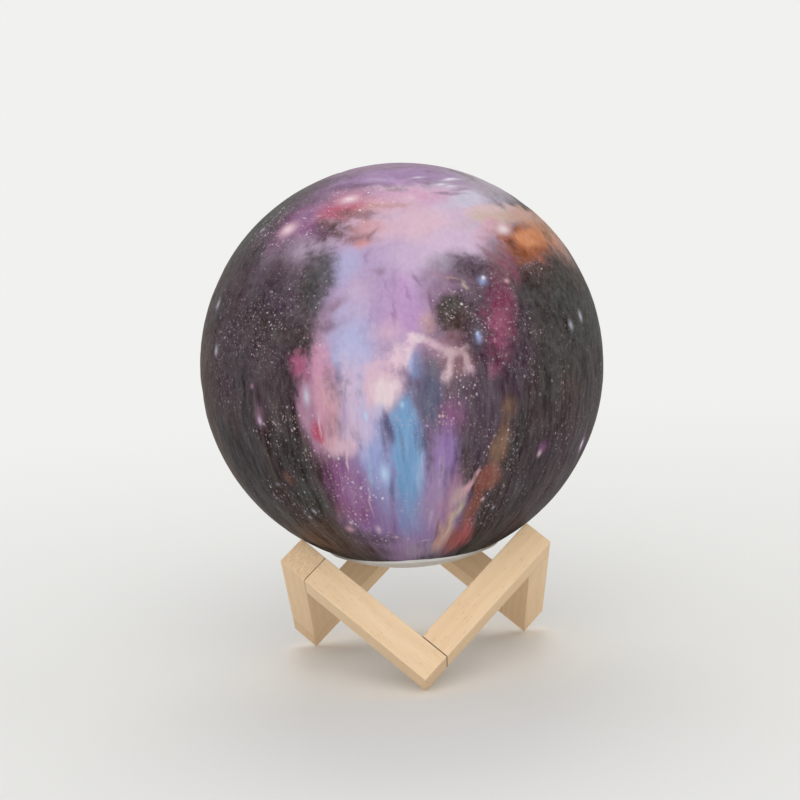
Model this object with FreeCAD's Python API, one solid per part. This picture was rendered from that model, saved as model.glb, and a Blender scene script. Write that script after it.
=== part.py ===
import FreeCAD, Part
import math
import os

# Lamp with a printed globe that sits loose on a stand of six wooden sticks.
# Millimetres, +Z up. The origin is on the table, under the globe's centre.
# One foot of the stand points to -Y, towards the viewer.

# ------------------------------------------------------------------ stand sizes
stick_side = 11.6
stick_length = 58.0
stick_edge_round = 0.3
dowel_diameter = 4.0
dowel_length = 14.0
dowel_glue_gap = 0.05
dowel_end_gap = 0.4

# ------------------------------------------------------------------ globe sizes
globe_diameter = 150.0
globe_wall = 1.6
opening_diameter = 64.6
seat_gap = 0.15

# ------------------------------------------------------- base cap and neck ring
rest_face_diameter = 32.0
cap_proud = 0.5
cap_floor = 2.0
cap_shell = 1.8
cap_lip = 1.6
rim_gap = 0.2
rim_width = 7.0
cup_wall = 1.5
ring_wall = 1.6
ring_bond_gap = 0.05
ring_cup_gap = 0.2
ring_reach = 5.6
collar_height = 7.0
lug_count = 3
lug_width = 6.0
lug_height = 2.0
lug_depth = 0.8
lug_play = 0.15
lug_lift = 3.6

# --------------------------------------------------------- screws and their posts
screw_diameter = 2.0
screw_head_diameter = 3.8
screw_head_height = 1.3
screw_hole_gap = 0.1
thread_gap = 0.02
lid_screw_length = 7.0
board_screw_length = 5.0
led_screw_length = 2.4
post_wall = 1.3
lid_post_inset = 2.0
board_post_inset = 4.2
post_root = 0.5

# ------------------------------------------------------------- electronic pieces
board_thickness = 1.2
board_gap = 0.3
board_notch_gap = 0.3
pad_thickness = 1.0
pad_inset = 2.0
cell_thickness = 5.0
cell_round = 1.2
cell_end_gap = 1.5
cell_corner_gap = 1.5
cell_lid_gap = 0.3
lid_thickness = 1.8
connector_width = 6.0
connector_depth = 3.4
connector_height = 2.4
lead_diameter = 0.8
lead_pitch = 2.2
lead_bend = 3.0
lead_inset = 3.6
lead_slot_diameter = 4.6

# ------------------------------------------------------- socket, button and light
control_spacing = 13.0
socket_length = 9.0
socket_width = 3.2
socket_height = 8.0
socket_shell_wall = 0.3
socket_recess = 0.3
socket_hole_gap = 0.15
tongue_length = 6.6
tongue_thickness = 0.7
tongue_recess = 0.8
tongue_block_height = 2.6
button_diameter = 8.0
button_recess = 0.4
button_side_gap = 0.1
button_flange = 1.6
button_flange_thickness = 1.0
button_travel = 1.0
button_top_round = 0.4
switch_side = 6.0
switch_height = 3.5
plunger_diameter = 3.4
plunger_side_gap = 0.05
plunger_hidden = 1.2
plunger_end_gap = 0.2
pipe_diameter = 2.4
pipe_offset = 9.0
pipe_flange = 0.8
pipe_recess = 0.1
pipe_side_gap = 0.05
pipe_led_gap = 0.3
status_led_side = 1.6
status_led_height = 0.8
main_chip_side = 5.0
main_chip_height = 1.5
charge_chip_side = 3.0
charge_chip_height = 1.1
chip_row_y = -9.0

# --------------------------------------------------------------------- light source
led_board_thickness = 1.2
led_board_margin = 3.4
led_screw_inset = 2.5
led_screw_angle = 65.0
led_count = 8
led_ring_inset = 6.5
led_length = 3.5
led_width = 2.8
led_height = 0.8
lead_angle = -25.0

# --------------------------------------------------------------- worked-out levels
# Levels of the lamp count from the globe's centre, downwards is negative.
globe_radius = globe_diameter / 2
inner_radius = globe_radius - globe_wall
opening_radius = opening_diameter / 2
rest_radius = rest_face_diameter / 2
rim_radius = opening_radius - rim_gap
cup_radius = rim_radius - rim_width
cup_inner_radius = cup_radius - cup_wall
bore_radius = cup_radius + ring_cup_gap
ring_sphere = inner_radius - ring_bond_gap

cap_sphere = globe_radius + cap_proud
rest_z = -math.sqrt(cap_sphere ** 2 - rest_radius ** 2)
ledge_z = -math.sqrt(inner_radius ** 2 - opening_radius ** 2)
floor_z = rest_z + cap_floor
board_z = rest_z + socket_recess + socket_height
board_top = board_z + board_thickness
cell_z = board_top + pad_thickness
cup_top = cell_z + cell_thickness + cell_lid_gap
lid_top = cup_top + lid_thickness
led_board_top = lid_top + led_board_thickness

post_radius = screw_diameter / 2 + post_wall
lid_post_place = cup_inner_radius - lid_post_inset
board_post_place = cup_inner_radius - board_post_inset
lead_place = cup_inner_radius - lead_inset
led_board_radius = lead_place - led_board_margin
cell_half_length = lid_post_place - post_radius - cell_end_gap
cell_half_width = math.sqrt((cup_inner_radius - cell_corner_gap) ** 2 - cell_half_length ** 2)
button_x = -control_spacing / 2
socket_x = control_spacing / 2
lid_post_angles = [-90.0, 30.0, 150.0]

# ------------------------------------------------------------ the stand's geometry
# The sticks lie along the edges of a cube of side cube_side whose long diagonal is
# upright. Cube places are (right, left, front), counted from its bottom corner.
cube_side = stick_length + stick_side
right_axis = FreeCAD.Vector(math.sqrt(1 / 2), math.sqrt(1 / 6), math.sqrt(1 / 3))
left_axis = FreeCAD.Vector(-math.sqrt(1 / 2), math.sqrt(1 / 6), math.sqrt(1 / 3))
front_axis = FreeCAD.Vector(0, -math.sqrt(2 / 3), math.sqrt(1 / 3))
table_level = stick_length / math.sqrt(3) + (math.sqrt(3) - 1) * stick_edge_round

# The globe touches the rounded inner corner on top of three sticks.
seat_distance = stick_length * math.sqrt(2 / 3)
seat_level = (2 * cube_side + stick_side) / math.sqrt(3) - math.sqrt(3) * stick_edge_round
globe_z = (seat_level - table_level
           + math.sqrt((globe_radius + stick_edge_round + seat_gap) ** 2 - seat_distance ** 2))


# ---------------------------------------------------------------- small helpers
def place(radius, angle):
    """The x and y of a point at this radius and this angle in degrees."""
    turn = math.radians(angle)
    return radius * math.cos(turn), radius * math.sin(turn)


def rod(radius, low, high, x=0.0, y=0.0):
    """An upright cylinder between two levels."""
    return Part.makeCylinder(radius, high - low, FreeCAD.Vector(x, y, low))


def block(size_x, size_y, low, high, x=0.0, y=0.0):
    """An upright block between two levels, centred on x and y."""
    corner = FreeCAD.Vector(x - size_x / 2, y - size_y / 2, low)
    return Part.makeBox(size_x, size_y, high - low, corner)


def oval(length, width, low, high, x=0.0, y=0.0):
    """An upright bar with round ends, long along Y."""
    straight = length - width
    bar = block(width, straight, low, high, x, y)
    for end in (-1, 1):
        bar = bar.fuse(rod(width / 2, low, high, x, y + end * straight / 2))
    return bar.removeSplitter()


def turned(shape, angle):
    """A copy turned about the lamp's axis."""
    copy = shape.copy()
    copy.rotate(FreeCAD.Vector(0, 0, 0), FreeCAD.Vector(0, 0, 1), angle)
    return copy


def on_sphere(sphere, radius):
    """The profile point of a sphere's lower half at this distance from the axis."""
    return radius, -math.sqrt(sphere ** 2 - radius ** 2)


def line(start, end):
    """A straight profile edge between two (radius, level) points."""
    return Part.LineSegment(FreeCAD.Vector(start[0], 0, start[1]),
                            FreeCAD.Vector(end[0], 0, end[1])).toShape()


def bow(sphere, start, end):
    """A profile edge that follows a sphere about the globe's centre."""
    middle = on_sphere(sphere, (start[0] + end[0]) / 2)
    points = [FreeCAD.Vector(r, 0, z) for r, z in (start, middle, end)]
    return Part.Arc(*points).toShape()


def spun(edges):
    """The solid that a closed profile sweeps about the lamp's axis."""
    face = Part.Face(Part.Wire(edges))
    return face.revolve(FreeCAD.Vector(0, 0, 0), FreeCAD.Vector(0, 0, 1), 360)


def straight_edges(points):
    """Straight profile edges through a row of points."""
    return [line(start, end) for start, end in zip(points, points[1:])]


# ------------------------------------------------------------------------ stand
def dowel(centre, direction, radius, length):
    """A round pin, or the hole for it, centred on a joint between two sticks."""
    start = centre - direction * (length / 2)
    return Part.makeCylinder(radius, length, start, direction)


def joint_pins(radius, length):
    """The pins at a stick's foot, at the next top corner and at the foot after it."""
    half = stick_side / 2
    far = stick_length + half
    at_foot = dowel(FreeCAD.Vector(stick_side, half, far), FreeCAD.Vector(1, 0, 0), radius, length)
    at_top = dowel(FreeCAD.Vector(half, stick_length, far), FreeCAD.Vector(0, 1, 0), radius, length)
    at_next = dowel(FreeCAD.Vector(half, far, stick_side), FreeCAD.Vector(0, 0, 1), radius, length)
    return at_foot, at_top, at_next


def stick(corner, size, holes):
    """A square stick with eased edges and the blind holes of its two joints."""
    bar = Part.makeBox(*size, FreeCAD.Vector(*corner))
    bar = bar.makeFillet(stick_edge_round, bar.Edges)
    for hole in holes:
        bar = bar.cut(hole)
    return bar


def stood_up(shape, third):
    """Turns cube places into the lamp's frame, then to one third of the ring."""
    axes = FreeCAD.Matrix(right_axis.x, left_axis.x, front_axis.x, 0,
                          right_axis.y, left_axis.y, front_axis.y, 0,
                          right_axis.z, left_axis.z, front_axis.z, -table_level,
                          0, 0, 0, 1)
    copy = shape.copy()
    copy.Placement = FreeCAD.Placement(axes)
    copy.rotate(FreeCAD.Vector(0, 0, 0), FreeCAD.Vector(0, 0, 1), -120 * third)
    return copy


def stand_pieces():
    """Six sticks in a closed zigzag, and the six pins that hold them together."""
    hole_radius = dowel_diameter / 2 + dowel_glue_gap
    hole_length = dowel_length + 2 * dowel_end_gap
    foot_hole, top_hole, next_hole = joint_pins(hole_radius, hole_length)
    rising = stick((0, 0, stick_length), (stick_side, stick_length, stick_side),
                   [foot_hole, top_hole])
    falling = stick((0, stick_length, stick_side), (stick_side, stick_side, stick_length),
                    [top_hole, next_hole])
    _, top_pin, next_pin = joint_pins(dowel_diameter / 2, dowel_length)

    rising_names = ["stick_front_left", "stick_back_left", "stick_right"]
    falling_names = ["stick_left", "stick_back_right", "stick_front_right"]
    pieces = {}
    pins = []
    for third in range(3):
        pieces[rising_names[third]] = stood_up(rising, third)
        pieces[falling_names[third]] = stood_up(falling, third)
        pins += [stood_up(top_pin, third), stood_up(next_pin, third)]
    pieces["dowel_pins"] = Part.makeCompound(pins)
    return pieces


# ---------------------------------------------------------------- globe and ring
def globe_shell():
    """A thin ball with a round opening at the bottom."""
    ball = Part.makeSphere(globe_radius).cut(Part.makeSphere(inner_radius))
    return ball.cut(rod(opening_radius, -globe_radius - globe_wall, -globe_radius / 2))


def at_each_lug(shape):
    """Copies of a shape at the snap lugs' places round the cup."""
    return [turned(shape, index * 360 / lug_count) for index in range(lug_count)]


def neck_ring():
    """The ring bonded inside the opening, whose collar holds the base cap."""
    ledge_end = (math.sqrt(ring_sphere ** 2 - ledge_z ** 2), ledge_z)
    flange_end = on_sphere(ring_sphere, opening_radius + ring_reach)
    flange_sphere = ring_sphere - ring_wall
    inward = flange_sphere / ring_sphere
    flange_top = (flange_end[0] * inward, flange_end[1] * inward)
    plate_top = ledge_z + ring_wall
    plate_end = (math.sqrt(flange_sphere ** 2 - plate_top ** 2), plate_top)
    collar_radius = bore_radius + ring_wall
    collar_top = ledge_z + collar_height
    edges = [line((bore_radius, ledge_z), ledge_end),
             bow(ring_sphere, ledge_end, flange_end),
             line(flange_end, flange_top),
             bow(flange_sphere, flange_top, plate_end)]
    edges += straight_edges([plate_end, (collar_radius, plate_top), (collar_radius, collar_top),
                             (bore_radius, collar_top), (bore_radius, ledge_z)])
    ring = spun(edges)
    low = ledge_z + lug_lift - lug_play
    window = block(4 * ring_wall, lug_width + 2 * lug_play, low,
                   low + lug_height + 2 * lug_play, bore_radius + ring_wall / 2)
    for cut in at_each_lug(window):
        ring = ring.cut(cut)
    return ring


# ----------------------------------------------------------------------- base cap
def cap_body():
    """The domed cap with its flat underside and the cup on it, still filled."""
    rim_low = on_sphere(cap_sphere, rim_radius)
    flat_edge = (rest_radius, rest_z)
    shell_sphere = cap_sphere - cap_shell
    shell_foot = on_sphere(shell_sphere, cup_radius)
    shell_end = on_sphere(shell_sphere, rim_radius - cap_lip)
    edges = [bow(cap_sphere, rim_low, flat_edge)]
    edges += straight_edges([flat_edge, (0, rest_z), (0, cup_top), (cup_radius, cup_top),
                             shell_foot])
    edges.append(bow(shell_sphere, shell_foot, shell_end))
    edges += straight_edges([shell_end, (shell_end[0], ledge_z), (rim_radius, ledge_z), rim_low])
    return spun(edges)


def cup_room():
    """The room inside the cup, with the screw posts left out of it."""
    above = cup_top + post_root
    room = rod(cup_inner_radius, floor_z, above)
    for angle in lid_post_angles:
        room = room.cut(rod(post_radius, floor_z - post_root, above + post_root,
                            *place(lid_post_place, angle)))
    for side in (-1, 1):
        room = room.cut(rod(post_radius, floor_z - post_root, board_z, side * board_post_place))
    return room


def floor_holes():
    """The openings in the cap's floor for the button, the socket and the light pipe."""
    through = (rest_z - post_root, floor_z + post_root)
    button = rod(button_diameter / 2 + button_side_gap, *through, button_x)
    inlet = oval(socket_length + 2 * socket_hole_gap, socket_width + 2 * socket_hole_gap,
                 *through, socket_x)
    pipe = rod(pipe_diameter / 2 + pipe_side_gap, *through, 0, pipe_offset)
    return button, inlet, pipe


def base_cap():
    """The cap with its lugs, its screw posts and the three holes in its floor."""
    cap = cap_body().cut(cup_room())
    low = ledge_z + lug_lift
    reach = lug_depth + cup_wall / 2
    lug = block(reach, lug_width, low, low + lug_height, cup_radius + lug_depth - reach / 2)
    for piece in at_each_lug(lug):
        cap = cap.fuse(piece)
    thread = screw_diameter / 2 + thread_gap
    for angle in lid_post_angles:
        spot = place(lid_post_place, angle)
        cap = cap.cut(rod(thread, lid_top - lid_screw_length, cup_top, *spot))
    for side in (-1, 1):
        tip = board_top - board_screw_length
        cap = cap.cut(rod(thread, tip, board_z, side * board_post_place))
    for hole in floor_holes():
        cap = cap.cut(hole)
    return cap.removeSplitter()


def housing_lid():
    """The plate that closes the cup and carries the light source."""
    lid = rod(cup_radius, cup_top, lid_top)
    clear = screw_diameter / 2 + screw_hole_gap
    for angle in lid_post_angles:
        lid = lid.cut(rod(clear, cup_top, lid_top, *place(lid_post_place, angle)))
    for spot in led_screw_spots():
        lid = lid.cut(rod(screw_diameter / 2 + thread_gap, cup_top, lid_top, *spot))
    return lid.cut(rod(lead_slot_diameter / 2, cup_top, lid_top, *place(lead_place, lead_angle)))


# ------------------------------------------------------------------------ screws
def screw(spot, seat, length):
    """A pan-head screw whose head sits on the seat level, with its thread left plain."""
    head = rod(screw_head_diameter / 2, seat, seat + screw_head_height, *spot)
    rim = head.Edges[0]
    head = head.makeFillet(screw_head_height / 3, [rim])
    shank = rod(screw_diameter / 2, seat - length, seat, *spot)
    return head.fuse(shank).removeSplitter()


def led_screw_spots():
    """The two places of the light board's screws."""
    reach = led_board_radius - led_screw_inset
    return [place(reach, led_screw_angle + half * 180) for half in range(2)]


def screw_groups():
    """The three groups of equal screws."""
    lid = [screw(place(lid_post_place, angle), lid_top, lid_screw_length)
           for angle in lid_post_angles]
    board = [screw((side * board_post_place, 0), board_top, board_screw_length)
             for side in (-1, 1)]
    light = [screw(spot, led_board_top, led_screw_length) for spot in led_screw_spots()]
    return {"lid_screws": Part.makeCompound(lid),
            "board_screws": Part.makeCompound(board),
            "led_board_screws": Part.makeCompound(light)}


# --------------------------------------------------------------- boards and cell
def control_board():
    """The round circuit board, notched where the lid's posts pass it."""
    board = rod(cup_inner_radius - board_gap, board_z, board_top)
    for angle in lid_post_angles:
        spot = place(lid_post_place, angle)
        board = board.cut(rod(post_radius + board_notch_gap, board_z, board_top, *spot))
    for side in (-1, 1):
        clear = screw_diameter / 2 + screw_hole_gap
        board = board.cut(rod(clear, board_z, board_top, side * board_post_place))
    return board


def board_chips():
    """The lamp's controller and its charging chip, under the board."""
    main = block(main_chip_side, main_chip_side, board_z - main_chip_height, board_z,
                 button_x, chip_row_y)
    charge = block(charge_chip_side, charge_chip_side, board_z - charge_chip_height, board_z,
                   socket_x, chip_row_y)
    return Part.makeCompound([main, charge])


def battery_cell():
    """A flat pouch cell with soft edges."""
    cell = block(2 * cell_half_width, 2 * cell_half_length, cell_z, cell_z + cell_thickness)
    return cell.makeFillet(cell_round, cell.Edges)


def battery_pad():
    """The foam pad that the cell is stuck to."""
    return block(2 * (cell_half_width - pad_inset), 2 * (cell_half_length - pad_inset),
                 board_top, cell_z)


def connector_y():
    """The connector stands against the cell's end, with a small gap."""
    return cell_half_length + cell_end_gap / 2 + connector_depth / 2


def battery_connector():
    """The small plug housing that takes the cell's two leads."""
    shell = block(connector_width, connector_depth, board_top, board_top + connector_height,
                  0, connector_y())
    upright = [edge for edge in shell.Edges if abs(edge.tangentAt(edge.FirstParameter).z) > 0.9]
    return shell.makeFillet(lead_diameter / 2, upright)


# ------------------------------------------------------------------------- leads
def lead(start, corner, end, bend):
    """A round wire of two straight runs joined by one arc."""
    start, corner, end = (FreeCAD.Vector(*point) for point in (start, corner, end))
    back = (start - corner).normalize()
    ahead = (end - corner).normalize()
    arc_start = corner + back * bend
    arc_end = corner + ahead * bend
    centre = corner + (back + ahead) * bend
    arc_middle = centre - (back + ahead).normalize() * bend
    path = Part.Wire([Part.LineSegment(start, arc_start).toShape(),
                      Part.Arc(arc_start, arc_middle, arc_end).toShape(),
                      Part.LineSegment(arc_end, end).toShape()])
    section = Part.Wire(Part.makeCircle(lead_diameter / 2, start, back))
    return path.makePipeShell([section], True, False)


def cell_lead(side):
    """A lead from the cell's end down into the connector."""
    x = side * lead_pitch / 2
    level = cell_z + cell_thickness - cell_round - lead_diameter / 2
    top = board_top + connector_height
    drop = level - top
    run = connector_y() - cell_half_length
    bend = 0.9 * min(drop, run)
    return lead((x, cell_half_length, level), (x, connector_y(), level),
                (x, connector_y(), top), bend)


def light_lead(side):
    """A lead from the control board through the lid to the light board."""
    angle = lead_angle + side * math.degrees(lead_pitch / 2 / lead_place)
    level = led_board_top + lead_diameter / 2
    foot = place(lead_place, angle)
    tip = place(led_board_radius - lead_pitch, angle)
    return lead((*foot, board_top), (*foot, level), (*tip, level), lead_bend)


# ------------------------------------------------- socket, switch and light pipe
def socket_shell():
    """The oval metal shell of the charging socket, open downwards."""
    mouth = rest_z + socket_recess
    shell = oval(socket_length, socket_width, mouth, board_z, socket_x)
    inside = oval(socket_length - 2 * socket_shell_wall, socket_width - 2 * socket_shell_wall,
                  mouth, board_z, socket_x)
    return shell.cut(inside)


def socket_tongue():
    """The insulating block in the socket and the contact tongue on it."""
    root = board_z - tongue_block_height
    filled = 2 * (socket_shell_wall + thread_gap)
    back = oval(socket_length - filled, socket_width - filled, root, board_z, socket_x)
    tip = rest_z + socket_recess + tongue_recess
    blade = block(tongue_thickness, tongue_length, tip, root, socket_x)
    return back.fuse(blade).removeSplitter()


def button_cap():
    """The round push button, kept in by a flange that rests on the cap's floor."""
    face = rest_z + button_recess
    stem = rod(button_diameter / 2, face, floor_z, button_x)
    rim = [edge for edge in stem.Edges if abs(edge.BoundBox.ZMax - face) < button_side_gap]
    stem = stem.makeFillet(button_top_round, rim)
    flange = rod(button_diameter / 2 + button_flange, floor_z,
                 floor_z + button_flange_thickness, button_x)
    return stem.fuse(flange).removeSplitter()


def tact_switch():
    """The switch under the board, with a blind hole for its plunger."""
    low = board_z - switch_height
    body = block(switch_side, switch_side, low, board_z, button_x)
    deep = low + plunger_hidden + button_travel + plunger_end_gap
    return body.cut(rod(plunger_diameter / 2 + plunger_side_gap, low, deep, button_x))


def switch_plunger():
    """The switch's moving pin, which the button's flange carries."""
    low = floor_z + button_flange_thickness
    return rod(plunger_diameter / 2, low, board_z - switch_height + plunger_hidden, button_x)


def light_pipe():
    """The clear pin that shows the charging light at the underside."""
    top = board_z - status_led_height - pipe_led_gap
    pin = rod(pipe_diameter / 2, rest_z + pipe_recess, top, 0, pipe_offset)
    flange = rod(pipe_diameter / 2 + pipe_flange, floor_z, floor_z + pipe_flange, 0, pipe_offset)
    return pin.fuse(flange).removeSplitter()


def status_led():
    """The small charging light on the board, above its pipe."""
    return block(status_led_side, status_led_side, board_z - status_led_height, board_z,
                 0, pipe_offset)


# ------------------------------------------------------------------ light source
def led_board():
    """The round aluminium board that holds the lights."""
    board = rod(led_board_radius, lid_top, led_board_top)
    for spot in led_screw_spots():
        board = board.cut(rod(screw_diameter / 2 + screw_hole_gap, lid_top, led_board_top, *spot))
    return board


def led_chips():
    """A ring of equal light chips."""
    ring = led_board_radius - led_ring_inset
    chip = block(led_width, led_length, led_board_top, led_board_top + led_height, ring)
    return Part.makeCompound([turned(chip, index * 360 / led_count) for index in range(led_count)])


def lamp_pieces():
    """Everything that lifts off the stand, at its place about the globe's centre."""
    pieces = {
        "globe_shell": globe_shell(),
        "neck_ring": neck_ring(),
        "base_cap": base_cap(),
        "housing_lid": housing_lid(),
        "control_board": control_board(),
        "board_chips": board_chips(),
        "battery_pad": battery_pad(),
        "battery_cell": battery_cell(),
        "battery_connector": battery_connector(),
        "battery_lead_red": cell_lead(1),
        "battery_lead_black": cell_lead(-1),
        "socket_shell": socket_shell(),
        "socket_tongue": socket_tongue(),
        "tact_switch": tact_switch(),
        "switch_plunger": switch_plunger(),
        "button_cap": button_cap(),
        "light_pipe": light_pipe(),
        "status_led": status_led(),
        "led_board": led_board(),
        "led_chips": led_chips(),
        "led_lead_red": light_lead(1),
        "led_lead_black": light_lead(-1),
    }
    pieces.update(screw_groups())
    for shape in pieces.values():
        shape.translate(FreeCAD.Vector(0, 0, globe_z))
    return pieces


os.makedirs("parts", exist_ok=True)
for name, shape in {**stand_pieces(), **lamp_pieces()}.items():
    shape.exportStep("parts/" + name + ".step")
print("globe centre above the table:", round(globe_z, 2))
print("total height:", round(globe_z + globe_radius, 2))
print("underside above the table:", round(globe_z + rest_z, 2))
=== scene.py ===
# %% [markdown]
# # A globe lamp on a stand of wooden sticks
#
# The lamp is a thin printed ball, 150 mm across, that rests loose on a ring of six square beech
# sticks. The construction model already holds every piece at its real size. This file adds what
# the eye sees: the camera and light, the finish of each surface, and the ball's low relief.
#
# Lengths are in metres, +Z is up, and the viewer looks along +Y.

# %% Load the fixed frame
import math

import bpy
from mathutils import Matrix, Vector


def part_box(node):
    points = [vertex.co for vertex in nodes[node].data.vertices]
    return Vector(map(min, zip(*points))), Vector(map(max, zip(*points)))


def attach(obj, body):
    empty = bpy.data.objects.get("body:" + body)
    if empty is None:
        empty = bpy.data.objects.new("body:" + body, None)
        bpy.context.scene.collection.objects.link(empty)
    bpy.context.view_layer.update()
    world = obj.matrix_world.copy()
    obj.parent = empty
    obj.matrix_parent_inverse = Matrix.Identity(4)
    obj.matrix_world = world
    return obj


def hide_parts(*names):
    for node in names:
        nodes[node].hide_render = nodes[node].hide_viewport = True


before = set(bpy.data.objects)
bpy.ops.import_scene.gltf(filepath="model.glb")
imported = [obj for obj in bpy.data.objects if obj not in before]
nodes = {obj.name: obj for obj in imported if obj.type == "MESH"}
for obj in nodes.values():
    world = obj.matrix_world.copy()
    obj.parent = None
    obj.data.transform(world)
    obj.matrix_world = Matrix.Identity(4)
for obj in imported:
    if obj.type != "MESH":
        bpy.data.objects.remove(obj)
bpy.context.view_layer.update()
bpy.ops.object.select_all(action="DESELECT")

# %% [markdown]
# ## Sizes read from the frame
#
# The new ball and the sticks' patterns are worked out from the construction, so that they still
# fit when a size changes there. The ball's box gives its centre and radius. Its lowest point is
# the edge of the round opening, which gives the opening's radius.

# %% Measure the ball and its opening
MM = 0.001

ball_low, ball_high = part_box("globe_shell")
globe_radius = (ball_high.x - ball_low.x) / 2
globe_centre = Vector((0, 0, ball_high.z - globe_radius))
opening_depth = globe_centre.z - ball_low.z
opening_radius = math.sqrt(globe_radius ** 2 - opening_depth ** 2)
print("ball radius, centre height, opening radius (mm):",
      [round(value / MM, 2) for value in (globe_radius, globe_centre.z, opening_radius)])

# %% [markdown]
# ## The camera
#
# The camera stands where the photographer's did: about 0.7 m in front of the lamp, a little
# above the ball's middle and looking down. It is also rolled by four degrees, because the
# picture is. A long lens keeps the ball round. A camera that tracks an empty has no roll of its
# own, so its turn is put together from three plain angles: turn to the side, tilt down and roll.

# %% Place the camera
CAMERA_PLACE = Vector((-7.0, -691.0, 192.9)) * MM
CAMERA_SIDE_TURN = math.radians(0.449)
CAMERA_TILT_DOWN = math.radians(7.787)
CAMERA_ROLL = math.radians(-4.0)
CAMERA_LENS = 83.86
CAMERA_SENSOR = 36.0

camera_data = bpy.data.cameras.new("camera")
camera_data.lens = CAMERA_LENS
camera_data.sensor_width = CAMERA_SENSOR
camera = bpy.data.objects.new("camera", camera_data)
bpy.context.scene.collection.objects.link(camera)
turn = (Matrix.Rotation(-CAMERA_SIDE_TURN, 4, "Z")
        @ Matrix.Rotation(math.pi / 2 - CAMERA_TILT_DOWN, 4, "X")
        @ Matrix.Rotation(CAMERA_ROLL, 4, "Z"))
camera.matrix_world = Matrix.Translation(CAMERA_PLACE) @ turn
bpy.context.scene.camera = camera
bpy.context.scene.view_settings.view_transform = "Standard"
print("camera looks along", [round(value, 4) for value in turn @ Vector((0, 0, -1))])

# %% [markdown]
# ## Helpers for node trees
#
# A material is a tree of nodes. Written out node by node it gets long, so small helpers keep it
# readable: one adds a node and fills its sockets, others do a sum, ease a number, lay one colour
# over another or make noise. A socket that is given another node's output is linked; anything
# else is set as its value. What more than one material needs becomes a node group.

# %% Node helpers
SCREEN_WHITE = 255


def srgb(red, green, blue):
    """A colour as a screen shows it, 0 to 255, in the linear values that shaders count in."""
    def linear(value):
        share = value / SCREEN_WHITE
        return share / 12.92 if share <= 0.04045 else ((share + 0.055) / 1.055) ** 2.4
    return linear(red), linear(green), linear(blue), 1.0


def fill(tree, sockets, values):
    """Links each named socket to another node's output, or sets its value."""
    for key, value in values.items():
        if isinstance(value, bpy.types.NodeSocket):
            tree.links.new(value, sockets[key])
        else:
            sockets[key].default_value = value


def put(tree, kind, values=None, **settings):
    """Adds a shader node with these settings, and fills the sockets named."""
    node = tree.nodes.new("ShaderNode" + kind)
    for key, value in settings.items():
        setattr(node, key, value)
    fill(tree, node.inputs, values or {})
    return node


def calc(tree, operation, first, second=0.0):
    """One sum on two numbers."""
    return put(tree, "Math", {0: first, 1: second}, operation=operation).outputs[0]


def vector_calc(tree, operation, first, second=(0.0, 0.0, 0.0)):
    """One sum on two vectors."""
    return put(tree, "VectorMath", {0: first, 1: second}, operation=operation).outputs[0]


def ramp(tree, value, start, end, low=0.0, high=1.0):
    """Eases a number from low to high as value goes from start to end."""
    return put(tree, "MapRange", {"Value": value, "From Min": start, "From Max": end,
                                  "To Min": low, "To Max": high},
               interpolation_type="SMOOTHSTEP", clamp=False).outputs["Result"]


def layer(tree, amount, below, above, mode="MIX"):
    """Lays one colour over another."""
    node = put(tree, "Mix", {0: amount, 6: below, 7: above}, data_type="RGBA", blend_type=mode)
    return node.outputs[2]


def noise(tree, place, scale, detail=4.0, roughness=0.55, output="Fac"):
    """Cloudy noise, centred on a half."""
    return put(tree, "TexNoise", {"Vector": place, "Scale": scale, "Detail": detail,
                                  "Roughness": roughness}).outputs[output]


print("middle grey in linear light:", round(srgb(128, 128, 128)[0], 3))


# %% Helpers for groups and materials
def new_group(name, inputs, outputs):
    """An empty node group with its sockets, as (group, what comes in, where it goes out)."""
    group = bpy.data.node_groups.new(name, "ShaderNodeTree")
    for title, kind, value in inputs:
        socket = group.interface.new_socket(title, in_out="INPUT", socket_type="NodeSocket" + kind)
        if value is not None:
            socket.default_value = value
    for title, kind in outputs:
        group.interface.new_socket(title, in_out="OUTPUT", socket_type="NodeSocket" + kind)
    start = group.nodes.new("NodeGroupInput")
    end = group.nodes.new("NodeGroupOutput")
    return group, start.outputs, end.inputs


def use_group(tree, group, values):
    """Places a node group in a tree and returns its outputs."""
    return put(tree, "Group", values, node_tree=group).outputs


def new_material(name):
    """A new material, as (material, its tree, the sockets of its shader)."""
    material = bpy.data.materials.new(name)
    material.use_nodes = True
    shader = material.node_tree.nodes["Principled BSDF"]
    return material, material.node_tree, shader.inputs


def own_place(tree):
    """The place on the piece, in metres."""
    return put(tree, "TexCoord").outputs["Object"]


def bump(tree, height, strength, distance):
    """The normal of a surface that this height makes uneven."""
    return put(tree, "Bump", {"Height": height, "Strength": strength,
                              "Distance": distance}).outputs["Normal"]


def mixed_shader(tree, amount, first, second):
    """Fades from the first shader to the second."""
    return put(tree, "MixShader", {0: amount, 1: first, 2: second}).outputs[0]


print("metres in one scene unit:", bpy.context.scene.unit_settings.scale_length)

# %% [markdown]
# ## Floor and background
#
# The lamp stands on a pale table that fades into a nearly white wall. A sheet curved upwards
# could be both, but a flat circle that takes the wall's colour far out looks the same and is in
# the way of nothing. Only the camera sees the wall's glow: the ray test in the floor and in the
# world keeps it from lighting the lamp more than the lamps do. Seen from below the table is
# clear, so that the underside can be looked at.

# %% Build the floor
FLOOR_TINT = srgb(238, 238, 236)
FLOOR_SHADE = srgb(236, 236, 234)
WALL_TINT = srgb(241, 241, 239)
FLOOR_RADIUS = 6.0
FLOOR_STEPS = 96
FLOOR_GRAIN = 900.0
FADE_START = 0.10
FADE_END = 0.75


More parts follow.
